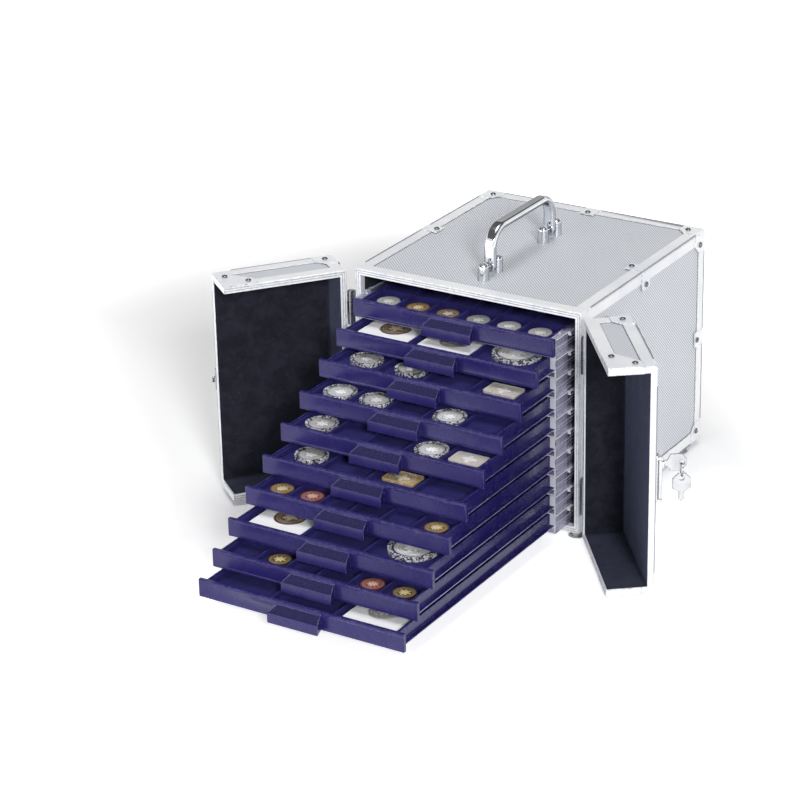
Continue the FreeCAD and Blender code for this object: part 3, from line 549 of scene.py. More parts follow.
coinMetals = {
    "silver": makeCoinMetal("coinSilver", rgb(250, 250, 250), rgb(184, 183, 182), 0.30, 8.0, 48.0),
    "grey": makeCoinMetal("coinGrey", rgb(226, 224, 222), rgb(156, 153, 151), 0.32, 6.0, 40.0),
    "gold": makeCoinMetal("coinGold", rgb(252, 232, 184), rgb(128, 96, 52), 0.30, 10.0, 52.0),
    "darkGold": makeCoinMetal("coinDarkGold", rgb(248, 226, 168), rgb(74, 54, 26), 0.30, 7.0, 44.0),
    "brown": makeCoinMetal("coinBrown", rgb(232, 214, 190), rgb(104, 84, 68), 0.34, 5.0, 36.0),
    "copper": makeCoinMetal("coinCopper", rgb(250, 200, 184), rgb(128, 62, 52), 0.30, 9.0, 42.0),
    "cream": makeCoinMetal("barCream", rgb(255, 253, 248), rgb(218, 211, 202), 0.40, 4.0, 60.0),
    "paleGold": makeCoinMetal("barPaleGold", rgb(250, 236, 206), rgb(196, 170, 128), 0.38, 4.0, 60.0),
}
# painted shade: dark strips standing for the shade in the gap between panel and frame
seamDark = makeMoulded("seamDark", rgb(84, 86, 92), rgb(120, 122, 128), 0.6)


def makePullGrain():  # the grained grip of a pull: fine pebbles in the moulding, the gaps between them painted darker as painted shade
    material, tree, shader, given = newMaterial("pullGrain", Roughness=0.5, IOR=1.45, Specular_IOR_Level=0.3)
    cells = tree.nodes.new("ShaderNodeTexVoronoi")
    feed(tree, cells.inputs["Vector"], given["Object"])
    cells.inputs["Scale"].default_value = 900.0
    pebble = remap(tree, cells.outputs["Distance"], 0.1, 0.7)
    feed(tree, shader["Base Color"], blendColours(tree, pebble, rgb(42, 36, 92), rgb(20, 16, 56)))
    feed(tree, shader["Roughness"], maths(tree, "MULTIPLY_ADD", pebble, 0.25, 0.45))
    feed(tree, shader["Normal"], bumpFrom(tree, maths(tree, "SUBTRACT", 1.0, pebble), 0.25 * mm, 0.8))
    return material


pullGrain = makePullGrain()
print("materials ready")


# Case: panels stay as the CAD has them, and the metal frame and its fittings get real edges

for node in ("top_panel", "bottom_panel", "side_panels", "back_panel"):
    paint(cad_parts[node], claddingCase)
paint(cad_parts["left_door_shell"], claddingLeft)
paint(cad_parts["right_door_shell"], claddingRight)

edgeSettings = {
    # node: piece name, body, material, slot, edge radius in mm, segments
    "case_profiles": ("caseFrame", "case", frameAluminium, "profile_aluminium", 0.30, 2),
    "corner_caps": ("caseCornerCaps", "case", capMetal, "cap_metal", 0.24, 2),
    "edge_clamps": ("caseEdgeClamps", "case", capMetal, "cap_metal", 0.24, 2),
    "box_shells": ("stackedBoxes", "case", boxPlastic, "clear_plastic", 0.22, 2),
    "case_hinge_leaves": ("caseHingeLeaves", "case", hingeZinc, "hinge_steel", 0.16, 1),
    "left_door_profiles": ("leftDoorFrame", "left_door", frameAluminium, "profile_aluminium", 0.30, 2),
    "right_door_profiles": ("rightDoorFrame", "right_door", frameAluminium, "profile_aluminium", 0.30, 2),
    "left_door_caps": ("leftDoorCaps", "left_door", capMetal, "cap_metal", 0.24, 2),
    "right_door_caps": ("rightDoorCaps", "right_door", capMetal, "cap_metal", 0.24, 2),
    "left_door_hinge_leaves": ("leftHingeLeaves", "left_door", hingeZinc, "hinge_steel", 0.16, 1),
    "right_door_hinge_leaves": ("rightHingeLeaves", "right_door", hingeZinc, "hinge_steel", 0.16, 1),
    "lock_body": ("lockPlate", "right_door", lockNickel, "chrome", 0.25, 2),
    "lock_lever": ("lockLeverArm", "lever", lockNickel, "chrome", 0.35, 2),
    "lock_barrel": ("lockBarrelPlug", "key", barrelNickel, "barrel_brass", 0.15, 1),
    "lock_key": ("insertedKey", "key", keyNickel, "key_steel", 0.22, 2),
    "spare_key": ("hangingKey", "key", keyNickel, "key_steel", 0.22, 2),
    "door_catch": ("catchHook", "left_door", lockNickel, "chrome", 0.22, 2),
}
for number in range(1, 11):
    tag = "%02d" % number
    edgeSettings["tray_" + tag] = ("trayShell" + tag, "drawer_" + tag, trayPlastic, "tray_plastic", 0.42, 3)

pullSettings = {"rim": 0.9 * mm, "sink": 0.5 * mm, "plateRim": 2.0 * mm, "plateSink": 0.3 * mm,
                "beside": 25.6 * mm}


def detailTray(piece):  # a grained grip sunk into the pull's slope, and a shallow field in the front plate
    low = min(point.co.y for point in piece.data.vertices)
    frontPlane = low + 12.8 * mm
    widest = max(point.co.x for point in piece.data.vertices)
    paint(piece, trayPlastic, pullGrain, traySide)
    activate(piece)
    pick(lambda centre, normal: 0.8 < normal.z < 0.98 and centre.y < frontPlane)
    bpy.ops.mesh.inset(thickness=pullSettings["rim"], depth=0)
    bpy.ops.mesh.inset(thickness=0.25 * mm, depth=-pullSettings["sink"])
    bpy.context.object.active_material_index = 1
    bpy.ops.object.material_slot_assign()
    for side in (-1, 1):  # cut the plate beside the pull, so that each half is a plain face
        startEdit()
        bpy.ops.mesh.select_all(action="SELECT")
        bpy.ops.mesh.bisect(plane_co=(side * pullSettings["beside"], 0, 0), plane_no=(1, 0, 0))
        bpy.ops.object.mode_set(mode="OBJECT")
    pick(lambda centre, normal: normal.y < -0.99 and abs(centre.y - frontPlane) < 0.1 * mm
         and abs(centre.x) > pullSettings["beside"] + 1 * mm)
    bpy.ops.mesh.inset(thickness=pullSettings["plateRim"], depth=0)
    bpy.ops.mesh.inset(thickness=0.7 * mm, depth=-pullSettings["plateSink"])
    bpy.ops.object.mode_set(mode="OBJECT")
    # painted reflection: the outer side walls behind the front plate take the paler traySide copy
    for face in piece.data.polygons:
        if abs(face.normal.x) > 0.9 and abs(face.center.x) > widest - 4 * mm and face.center.y > frontPlane + 2.5 * mm:
            face.material_index = 2


pinPlace = Vector((137.9, -141.2, 0)) * mm
swing = (Matrix.Translation(pinPlace) @ Matrix.Rotation(math.radians(openAngle), 4, "Z")
         @ Matrix.Translation(-pinPlace))
flip = Matrix.Scale(-1, 4, (1, 0, 0))
doorTurn = {"right_door": swing, "left_door": flip @ swing}  # from a shut right door to each open door
halfWidth, caseFront, caseBack, caseTop = 133.5, -139.5, 139.5, 244.5
grooveDepth = 0.5
boxLip = 110.0  # the stacked boxes' lips lie outside this, either side of the middle
boxTop = 218.0  # the top box's rim lies above this and stays clear


def shadeGrooves(piece, body, into):  # painted shade: the floors of the two grooves round a rim are painted darker
    back = doorTurn.get(body, Matrix.Identity(4)).inverted()
    level = (caseFront + into * grooveDepth) * mm
    for face in piece.data.polygons:
        middle = back @ face.center
        if abs(middle.y - level) < 0.05 * mm and abs((back.to_3x3() @ face.normal).y) > 0.9:
            face.material_index = 1


for node, (name, body, material, slotName, radius, segments) in edgeSettings.items():
    piece = mergedCopy(node, name)
    if node.startswith("tray_"):
        detailTray(piece)
    elif node.endswith("_profiles"):
        paint(piece, material, grooveMetal)
        shadeGrooves(piece, body, 1 if body == "case" else -1)
    elif node == "box_shells":
        paint(piece, material, boxEdge, boxLitEnd)
        startEdit()  # the front ends, which stand out of the case, get a paler copy as painted light, and the rest inside stays darker as painted shade
        bpy.ops.mesh.select_all(action="SELECT")
        bpy.ops.mesh.bisect(plane_co=(0, caseFront * mm, 0), plane_no=(0, 1, 0))
        bpy.ops.object.mode_set(mode="OBJECT")
        for face in piece.data.polygons:  # painted highlight: the cut-off ends and lips of clear plastic are painted pale
            lip = abs(face.normal.z) > 0.9 and abs(face.center.x) > boxLip * mm and face.center.z < boxTop * mm
            if face.normal.y < -0.9 or lip:
                face.material_index = 1
            elif face.center.y < caseFront * mm:
                face.material_index = 2
    else:
        paint(piece, material)
    roundEdges(piece, radius * mm, segments, 50)
    boxy = node.startswith("tray_") or node.endswith(("_profiles", "_caps", "_clamps", "_shells"))
    smooth(piece, 12 if boxy else 40, weighted=not boxy)
    place(piece, body, node, slot=slotName)
print("frame, caps, boxes, trays, hinges and lock dressed")


# Corner lines: a thin darker bar along each outer edge of the metal profiles, painted shade where the corner turns from
# the light

cornerSettings = {"width": 1.2, "proud": 0.12, "cap": 21.0}


def makeCornerLines(name, low, high, rim):  # a thin bar along each outer edge of a tray; rim is its open end in y
    s = cornerSettings
    bars = []
    for axis in range(3):
        first, second = [i for i in range(3) if i != axis]
        for one in (0, 1):
            for two in (0, 1):
                if (axis == 0 and one == rim) or (axis == 2 and two == rim):
                    continue
                middle, size = [0.0] * 3, [s["width"]] * 3
                middle[axis] = (low[axis] + high[axis]) / 2
                size[axis] = high[axis] - low[axis] - 2 * s["cap"]
                inset = s["width"] / 2 - s["proud"]
                middle[first] = low[first] + inset if one == 0 else high[first] - inset
                middle[second] = low[second] + inset if two == 0 else high[second] - inset
                deselectAll()
                bpy.ops.mesh.primitive_cube_add(size=1, location=[v * mm for v in middle])
                activate(bpy.context.object)
                bpy.ops.transform.resize(value=[v * mm for v in size])
                bpy.ops.object.transform_apply(location=True, rotation=False, scale=True)
                roundEdges(bpy.context.object, 0.2 * mm, 2)
                bars.append(bpy.context.object)
    return paint(join(bars, name), cornerMetal)


place(makeCornerLines("caseCornerLines", (-halfWidth, caseFront, 0), (halfWidth, caseBack, caseTop), 0), "case",
      slot="profile_aluminium")
doorLines = makeCornerLines("doorCornerLines", (1.2, caseFront - 48.6, 1.5), (halfWidth, caseFront, 243.0), 1)
for door, turn in doorTurn.items():
    place(ownCopy(doorLines, door.replace("_door", "DoorCornerLines"), turn), door, slot="profile_aluminium")
removePiece(doorLines)
print("corner lines set")


# Lips of the stacked boxes: a fine bead along each box's side, under the box above, painted pale as a painted highlight

lipSettings = {"count": 10, "pitch": 21.6, "first": 7.0, "side": 118.0, "front": -163.5, "back": 131.5,
               "height": 1.1, "proud": 0.45}


def makeLips():
    s = lipSettings
    lips = []
    for level in range(s["count"]):
        for side in (-1, 1):
            deselectAll()
            middle = (side * s["side"] * mm, (s["front"] + s["back"]) / 2 * mm,
                      (s["first"] + (level + 1) * s["pitch"] - 1.5) * mm)
            bpy.ops.mesh.primitive_cube_add(size=1, location=middle)
            activate(bpy.context.object)
            bpy.ops.transform.resize(value=(2 * s["proud"] * mm, (s["back"] - s["front"]) * mm, s["height"] * mm))
            bpy.ops.object.transform_apply(location=True, rotation=False, scale=True)
            roundEdges(bpy.context.object, 0.2 * mm, 2)
            lips.append(bpy.context.object)
    return join(lips, "boxLips")


place(paint(makeLips(), boxEdge), "case", slot="clear_plastic")
print("box lips set")


# Rivets: one dome, copied to each cap, clamp and hinge leaf

rivetSettings = {"radius": 3.1 * mm, "rise": 1.35 * mm, "capInset": 13.5, "clampInset": 16.0,
                 "doorInset": 11.5, "plate": 0.85}


def makeDome(name, radius, rise):
    deselectAll()
    bpy.ops.mesh.primitive_uv_sphere_add(segments=20, ring_count=10, radius=radius)
    activate(bpy.context.object)
    startEdit()
    bpy.ops.mesh.select_all(action="SELECT")
    bpy.ops.mesh.bisect(plane_co=(0, 0, 0.0), plane_no=(0, 0, 1), clear_inner=True, use_fill=True)
    bpy.ops.mesh.select_all(action="SELECT")
    bpy.ops.transform.resize(value=(1, 1, rise / radius))
    pick(lambda centre, normal: normal.z < -0.9)
    bpy.ops.mesh.extrude_region_move(TRANSFORM_OT_translate={"value": (0, 0, -0.25 * mm)})
    bpy.ops.object.mode_set(mode="OBJECT")
    dome = settle(bpy.context.object, name)
    smooth(dome, 50)
    return dome


def onFace(at, outward):  # a matrix that stands a piece on a face
    return Matrix.Translation(Vector(at) * mm) @ Vector(outward).to_track_quat("Z", "Y").to_matrix().to_4x4()


def scatter(master, places, name, body, slotName, turn=Matrix.Identity(4)):
    copies = [ownCopy(master, name + str(i), turn @ onFace(at, outward))
              for i, (at, outward) in enumerate(places)]
    piece = join(copies, name)
    cleanNormals(piece)
    return place(piece, body, slot=slotName)


def caseRivets():
    a, c, t = (rivetSettings[k] for k in ("capInset", "clampInset", "plate"))
    places = []
    for side in (-1, 1):
        for z, up in ((0, -1), (caseTop, 1)):
            inZ, outZ = z - up * a, z + up * t
            places.append(((side * (halfWidth - a), caseBack - a, outZ), (0, 0, up)))
            places.append(((side * (halfWidth + t), caseBack - a, inZ), (side, 0, 0)))
            places.append(((side * (halfWidth - a), caseBack + t, inZ), (0, 1, 0)))
            places.append(((side * (halfWidth - c), 0, outZ), (0, 0, up)))
            places.append(((side * (halfWidth + t), 0, z - up * c), (side, 0, 0)))
        places.append(((side * (halfWidth + t), caseBack - c, caseTop / 2), (side, 0, 0)))
        places.append(((side * (halfWidth - c), caseBack + t, caseTop / 2), (0, 1, 0)))
    for z, up in ((0, -1), (caseTop, 1)):
        places.append(((0, caseBack - c, z + up * t), (0, 0, up)))
        places.append(((0, caseBack + t, z - up * c), (0, 1, 0)))
    return places


def doorRivets():
    a, t = rivetSettings["doorInset"], rivetSettings["plate"]
    free, face, places = 1.2, caseFront - 48.6, []
    for z, up in ((1.5, -1), (243.0, 1)):
        places.append(((halfWidth - a, face + a, z + up * t), (0, 0, up)))
        places.append(((halfWidth - a, face - t, z - up * a), (0, -1, 0)))
        places.append(((halfWidth + t, face + a, z - up * a), (1, 0, 0)))
        places.append(((free + 28, caseFront - 8.5, z + up * t), (0, 0, up)))
        places.append(((free + 8.5, caseFront - 28, z + up * t), (0, 0, up)))
    return places


def hingeRivets(onDoor):
    places, y = [], (-150.0 if onDoor else -132.0)
    for middle in (122.25 - 78, 122.25 + 78):
        for step in (-13, 0, 13):
            places.append(((halfWidth + 1.0, y, middle + step), (1, 0, 0)))
    return places


dome = makeDome("rivetDome", rivetSettings["radius"], rivetSettings["rise"])
paint(dome, rivetMetal)
scatter(dome, caseRivets(), "caseRivets", "case", "cap_metal")
for door, turn in doorTurn.items():
    scatter(dome, doorRivets(), door.replace("_door", "DoorRivets"), door, "cap_metal", turn)
removePiece(dome)
tack = makeDome("hingeTack", 1.7 * mm, 0.7 * mm)
paint(tack, hingeZinc)
for side, turn in ((1, Matrix.Identity(4)), (-1, flip)):
    scatter(tack, hingeRivets(False), "caseHingeTacks" + ("Right" if side > 0 else "Left"), "case", "hinge_steel", turn)
for door, turn in doorTurn.items():
    scatter(tack, hingeRivets(True), door.replace("_door", "HingeTacks"), door, "hinge_steel", turn)
removePiece(tack)
print("rivets set")


# Seams: the narrow dark line where a panel runs under its metal frame, a dark strip standing as painted shade in the
# gap

seamSettings = {"leg": 13.5, "width": 0.7 * mm, "rise": 0.16 * mm}


def makeSeam(name, middle, outward, across, along):  # a flat frame on a panel, along its metal border
    deselectAll()
    bpy.ops.mesh.primitive_plane_add(size=1)
    activate(bpy.context.object)
    bpy.ops.transform.resize(value=(across * mm, along * mm, 1))
    bpy.ops.object.transform_apply(location=False, rotation=False, scale=True)
    startEdit()
    bpy.ops.mesh.select_all(action="SELECT")
    bpy.ops.mesh.inset(thickness=seamSettings["width"], depth=0)
    bpy.ops.mesh.delete(type="FACE")
    bpy.ops.mesh.select_all(action="SELECT")
    bpy.ops.mesh.extrude_region_move(TRANSFORM_OT_translate={"value": (0, 0, seamSettings["rise"])})
    bpy.ops.object.mode_set(mode="OBJECT")
    seam = settle(bpy.context.object, name)
    seam.data.transform(onFace(middle, outward))
    cleanNormals(seam)
    return seam


def caseSeams():
    leg = seamSettings["leg"]
    wide, deep, tall = 2 * halfWidth - 2 * leg, caseBack - caseFront - 2 * leg, caseTop - 2 * leg
    skin, mid = 1.2, caseTop / 2
    return [
        makeSeam("seamTop", (0, 0, caseTop - skin), (0, 0, 1), wide, deep),
        makeSeam("seamBottom", (0, 0, skin), (0, 0, -1), wide, deep),
        makeSeam("seamRight", (halfWidth - skin, 0, mid), (1, 0, 0), deep, tall),
        makeSeam("seamLeft", (skin - halfWidth, 0, mid), (-1, 0, 0), deep, tall),
        makeSeam("seamBack", (0, caseBack - skin, mid), (0, 1, 0), wide, tall),
    ]


def doorSeams():
    leg, skin = seamSettings["leg"], 1.2
    free, face, low, high = 1.2, caseFront - 48.6, 1.5, 243.0
    midX, midY, midZ = (free + halfWidth) / 2, (face + caseFront) / 2, (low + high) / 2
    wide, deep, tall = halfWidth - free - 2 * leg, 48.6 - 2 * leg, high - low - 2 * leg
    return [
        makeSeam("seamFront", (midX, face + skin, midZ), (0, -1, 0), wide, tall),
        makeSeam("seamSide", (halfWidth - skin, midY, midZ), (1, 0, 0), deep, tall),
        makeSeam("seamHigh", (midX, midY, high - skin), (0, 0, 1), wide, deep),
        makeSeam("seamLow", (midX, midY, low + skin), (0, 0, -1), wide, deep),
    ]


place(paint(join(caseSeams(), "casePanelSeams"), seamDark), "case")
for door, turn in doorTurn.items():
    seam = join(doorSeams(), door.replace("_door", "DoorSeams"))
    seam.data.transform(turn)
    cleanNormals(seam)
    place(paint(seam, seamDark), door)
print("seams set")


# Velvet lining: folded into each cavity with soft corners, slightly uneven over its foam

liningSettings = {"corner": 2.6 * mm, "thick": 1.5 * mm, "cell": 7.0 * mm, "uneven": 0.28 * mm}


def makeLining(name, low, high, openFaces):  # low and high are the cavity's corners, open at the given normals
    deselectAll()
    low, high = Vector(low) * mm, Vector(high) * mm
    bpy.ops.mesh.primitive_cube_add(size=1, location=(low + high) / 2)
    activate(bpy.context.object)
    bpy.ops.transform.resize(value=tuple(high - low))
    bpy.ops.object.transform_apply(location=True, rotation=False, scale=True)
    pick(lambda centre, normal: any(normal.dot(Vector(way)) > 0.9 for way in openFaces))
    bpy.ops.mesh.delete(type="FACE")
    bpy.ops.mesh.select_mode(type="EDGE")
    bpy.ops.mesh.select_all(action="SELECT")
    bpy.ops.mesh.region_to_loop()
    bpy.ops.mesh.select_all(action="INVERT")
    bpy.ops.mesh.bevel(offset=liningSettings["corner"], segments=4, profile=0.5)
    bpy.ops.object.mode_set(mode="OBJECT")
    size = max(high - low)
    for axis in range(3):  # cut the cloth into even cells, so that it can lie unevenly
        count = int((high - low)[axis] / liningSettings["cell"])
        for i in range(1, count):
            startEdit()
            bpy.ops.mesh.select_all(action="SELECT")
            at = list((low + high) / 2)
            at[axis] = low[axis] + i * (high - low)[axis] / count
            bpy.ops.mesh.bisect(plane_co=at, plane_no=[1.0 if k == axis else 0.0 for k in range(3)])
            bpy.ops.object.mode_set(mode="OBJECT")
    lining = bpy.context.object
    cloud = bpy.data.textures.new(name + "Lie", "CLOUDS")
    cloud.noise_scale = 0.035
    lie = lining.modifiers.new("lie", "DISPLACE")
    lie.texture = cloud
    lie.strength = -liningSettings["uneven"]
    lie.mid_level = 0.45
    bpy.ops.object.modifier_apply(modifier="lie")
    backing = lining.modifiers.new("backing", "SOLIDIFY")
    backing.thickness = liningSettings["thick"]
    backing.offset = 1.0
    bpy.ops.object.modifier_apply(modifier="backing")
    lining = settle(lining, name)
    lining.data.transform(Matrix.Identity(4))
    return lining


lining = makeLining("caseVelvet", (7 - halfWidth, caseFront + 8.2, 7), (halfWidth - 7, caseBack - 7, caseTop - 7),
                    [(0, -1, 0)])
cleanNormals(lining)
smooth(lining, 60, False)
place(paint(lining, velvetLining), "case", "case_lining", slot="lining_velvet")
doorLining = makeLining("doorVelvet", (1.6, caseFront - 48.6 + 7.6, 1.5 + 7.5),
                        (halfWidth - 7.5, caseFront - 1.5, 243 - 7.5), [(0, 1, 0), (-1, 0, 0)])
cleanNormals(doorLining)
smooth(doorLining, 60, False)
paint(doorLining, velvetLining)
for door, turn in doorTurn.items():
    lining = ownCopy(doorLining, door.replace("_door", "DoorVelvet"), turn)
    place(lining, door, door + "_lining", slot="lining_velvet")
removePiece(doorLining)
print("velvet lining laid")


# Velour inserts: a grid of wells, pressed from one flocked sheet

trayColumns = (6, 3, 4, 5, 5, 4, 6, 3, 6, 3)
insertSettings = {"wall": 3.0 * mm, "depth": 5.5 * mm, "corner": 2.2 * mm, "lip": 0.8 * mm, "foot": 1.0 * mm}


def wellPitch(tag, columns):
    low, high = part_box("tray_insert_" + tag)
    pitch = (high.x - low.x - insertSettings["wall"]) / columns
    return low, high, pitch, int((high.y - low.y - insertSettings["wall"]) / pitch)


def makeInsert(tag, columns):
    wall, depth = insertSettings["wall"], insertSettings["depth"]
    low, high, pitch, rows = wellPitch(tag, columns)
    width, length = columns * pitch, rows * pitch
    middle = (low.x + wall / 2 + width / 2, low.y + wall / 2 + length / 2, high.z)
    deselectAll()
    bpy.ops.mesh.primitive_grid_add(x_subdivisions=columns, y_subdivisions=rows, size=1, location=middle)
    insert = bpy.context.object
    activate(insert)
    bpy.ops.transform.resize(value=(width, length, 1))
    bpy.ops.object.transform_apply(location=True, rotation=False, scale=True)
    startEdit()
    bpy.ops.mesh.select_all(action="SELECT")
    bpy.ops.mesh.inset(thickness=wall / 2, depth=0, use_individual=True)
    bpy.ops.mesh.extrude_region_move(TRANSFORM_OT_translate={"value": (0, 0, -depth)})
    near = 0.05 * mm
    pick(lambda middle, run: abs(run.z) > 0.9 * depth, "EDGE")
    bpy.ops.mesh.bevel(offset=insertSettings["corner"], segments=4, profile=0.5)
    for height, width in ((high.z, insertSettings["lip"]), (high.z - depth, insertSettings["foot"])):
        startEdit("EDGE")
        bpy.ops.mesh.select_all(action="DESELECT")
        bpy.ops.object.mode_set(mode="OBJECT")
        level = {}
        for face in insert.data.polygons:
            kind = "level" if abs(face.normal.z) > 0.99 else "upright" if abs(face.normal.z) < 0.01 else "slope"
            for key in face.edge_keys:
                level.setdefault(key, set()).add(kind)
        for line in insert.data.edges:
            a, b = (insert.data.vertices[i].co for i in line.vertices)
            line.select = (level.get(line.key) == {"level", "upright"}
                           and abs(a.z - height) < near and abs(b.z - height) < near)
        bpy.ops.object.mode_set(mode="EDIT")
        bpy.ops.mesh.bevel(offset=width, segments=3, profile=0.5)
    # widen the border to the tray's walls, turn it down and close it underneath
    for test, step in ((lambda co, n: co.x < low.x + wall / 2 + near, (low.x - (low.x + wall / 2), 0, 0)),
                       (lambda co, n: co.x > high.x - wall / 2 - near, (wall / 2, 0, 0)),
                       (lambda co, n: co.y < low.y + wall / 2 + near, (0, -wall / 2, 0)),
                       (lambda co, n: co.y > low.y + wall / 2 + length - near,
                        (0, high.y - (low.y + wall / 2 + length), 0))):
        pick(test, "VERT")
        bpy.ops.transform.translate(value=step)
    bpy.ops.mesh.select_mode(type="EDGE")
    bpy.ops.mesh.select_all(action="SELECT")
    bpy.ops.mesh.region_to_loop()
    bpy.ops.mesh.extrude_region_move(TRANSFORM_OT_translate={"value": (0, 0, low.z - high.z)})
    bpy.ops.mesh.edge_face_add()
    bpy.ops.object.mode_set(mode="OBJECT")
    insert = settle(insert, "velourInsert" + tag)
    cleanNormals(insert)
    smooth(insert, 50, False)
    return insert


for number, columns in enumerate(trayColumns, 1):
    tag = "%02d" % number
    insert = paint(makeInsert(tag, columns), velourNavy)
    place(insert, "drawer_" + tag, "tray_insert_" + tag, slot="navy_velour")
print("velour inserts pressed")


# What lies in the trays

coinSizes = {"coin": (12.2, 2.2), "capsule": (17.5, 4.6), "big_capsule": (25.5, 5.0)}
trayContents = (
    (("coin", 1, "silver"), ("coin", 2, "gold"), ("coin", 3, "brown"), ("coin", 4, "grey"), ("coin", 5, "silver"),
     ("coin", 6, "silver")),
    (("holder", 1, "brown"), ("holder", 2, "grey"), ("big_capsule", 3, "silver")),
    (("capsule", 1, "grey"), ("capsule", 2, "grey"), ("bar", 4, "cream")),
    (("capsule", 1, "silver"), ("capsule", 2, "grey"), ("capsule", 4, "silver")),
    (("capsule", 1, "grey"), ("capsule", 4, "silver"), ("bar", 5, "cream")),
    (("capsule", 1, "grey"), ("bar", 3, "paleGold")),
    (("coin", 1, "gold"), ("coin", 2, "copper"), ("coin", 6, "gold")),
    (("holder", 1, "brown"), ("big_capsule", 3, "silver")),
    (("coin", 2, "darkGold"), ("coin", 5, "copper"), ("coin", 6, "darkGold")),
    (("holder", 3, "silver"),),
)


def mapFace(piece, x, y, radius):  # a flat map of the coin's face, centred on the coin
    layer = piece.data.uv_layers.active or piece.data.uv_layers.new(name="coinFace")
    for loop in piece.data.loops:
        point = piece.data.vertices[loop.vertex_index].co
        layer.data[loop.index].uv = ((point.x - x) / radius / 2 + 0.5, (point.y - y) / radius / 2 + 0.5)


def makeCoin(name, x, y, z, radius, thick, metal):
    deselectAll()
    bpy.ops.mesh.primitive_cylinder_add(vertices=56, radius=radius, depth=thick, location=(x, y, z + thick / 2))
    coin = bpy.context.object
    activate(coin)
    bpy.ops.object.transform_apply(location=True, rotation=False, scale=False)
    pick(lambda centre, normal: abs(normal.z) > 0.9)
    bpy.ops.mesh.inset(thickness=radius * 0.075, depth=0)
    bpy.ops.mesh.inset(thickness=0.2 * mm, depth=-0.18 * mm)
    bpy.ops.object.mode_set(mode="OBJECT")
    roundEdges(coin, 0.12 * mm, 2)
    coin = settle(coin, name)
    smooth(coin, 35)
    mapFace(coin, x, y, radius)
    return paint(coin, coinMetals[metal])


def makeCapsule(name, x, y, z, radius, thick):  # a clear snap-together capsule, hollow for its coin
    deselectAll()
    bpy.ops.mesh.primitive_cylinder_add(vertices=72, radius=radius, depth=thick, location=(x, y, z + thick / 2))
    outer = bpy.context.object
    activate(outer)
    bpy.ops.object.transform_apply(location=True, rotation=False, scale=False)
    pick(lambda centre, normal: abs(normal.z) > 0.9)
    bpy.ops.mesh.inset(thickness=radius * 0.14, depth=0)
    bpy.ops.mesh.inset(thickness=0.5 * mm, depth=-0.6 * mm)
    bpy.ops.object.mode_set(mode="OBJECT")
    roundEdges(outer, 0.45 * mm, 3)
    outer = settle(outer, name)
    smooth(outer, 40)
    deselectAll()
    bpy.ops.mesh.primitive_cylinder_add(vertices=72, radius=radius * 0.77, depth=thick - 2.4 * mm,
                                        location=(x, y, z + thick / 2))
    room = bpy.context.object
    activate(room)
    pick(lambda centre, normal: True)
    bpy.ops.mesh.flip_normals()
    bpy.ops.object.mode_set(mode="OBJECT")
    room = settle(room, name + "Room")
    smooth(room, 40)
    capsule = paint(join([outer, room], name), capsuleClear, capsuleRim)
    # the rim takes capsuleRim, whose milled ridges carry painted glints
    for face in capsule.data.polygons:
        reach = math.hypot(face.center.x - x, face.center.y - y)
        if reach > radius * 0.88:
            face.material_index = 1
    return capsule


def makeHolder(name, x, y, z):  # white square holder: two card faces round a window
    deselectAll()
    bpy.ops.mesh.primitive_cube_add(size=1, location=(x, y, z + 0.9 * mm))
    card = bpy.context.object
    activate(card)
    bpy.ops.transform.resize(value=(61 * mm, 61 * mm, 1.8 * mm))
    bpy.ops.object.transform_apply(location=True, rotation=False, scale=True)
    pick(lambda middle, run: abs(run.z) > 1 * mm, "EDGE")
    bpy.ops.mesh.bevel(offset=1.2 * mm, segments=4, profile=0.5)
    bpy.ops.object.mode_set(mode="OBJECT")
    deselectAll()
    bpy.ops.mesh.primitive_cylinder_add(vertices=64, radius=16.8 * mm, depth=4 * mm, location=(x, y, z + 2.3 * mm))
    cutter = bpy.context.object
    activate(card)
    window = card.modifiers.new("window", "BOOLEAN")
    window.operation = "DIFFERENCE"
    window.solver = "EXACT"
    window.object = cutter
    bpy.ops.object.modifier_apply(modifier="window")
    removePiece(cutter)
    roundEdges(card, 0.2 * mm, 2)
    card = settle(card, name)
    smooth(card, 35)
    return paint(card, holderCard)


def makeBar(name, x, y, z, metal):  # a small cast bar with a raised border
    deselectAll()
    bpy.ops.mesh.primitive_cube_add(size=1, location=(x, y, z + 1.5 * mm))
    bar = bpy.context.object
    activate(bar)
    bpy.ops.transform.resize(value=(37 * mm, 24 * mm, 3 * mm))
    bpy.ops.object.transform_apply(location=True, rotation=False, scale=True)
    pick(lambda middle, run: abs(run.z) > 1 * mm, "EDGE")
    bpy.ops.mesh.bevel(offset=3.0 * mm, segments=5, profile=0.5)
    pick(lambda centre, normal: abs(normal.z) > 0.9)
    bpy.ops.mesh.inset(thickness=1.3 * mm, depth=0)
    bpy.ops.mesh.inset(thickness=0.4 * mm, depth=-0.4 * mm)
    bpy.ops.object.mode_set(mode="OBJECT")
    roundEdges(bar, 0.35 * mm, 3)
    bar = settle(bar, name)
    smooth(bar, 40)
    mapFace(bar, x, y, 16 * mm)
    return paint(bar, coinMetals[metal])


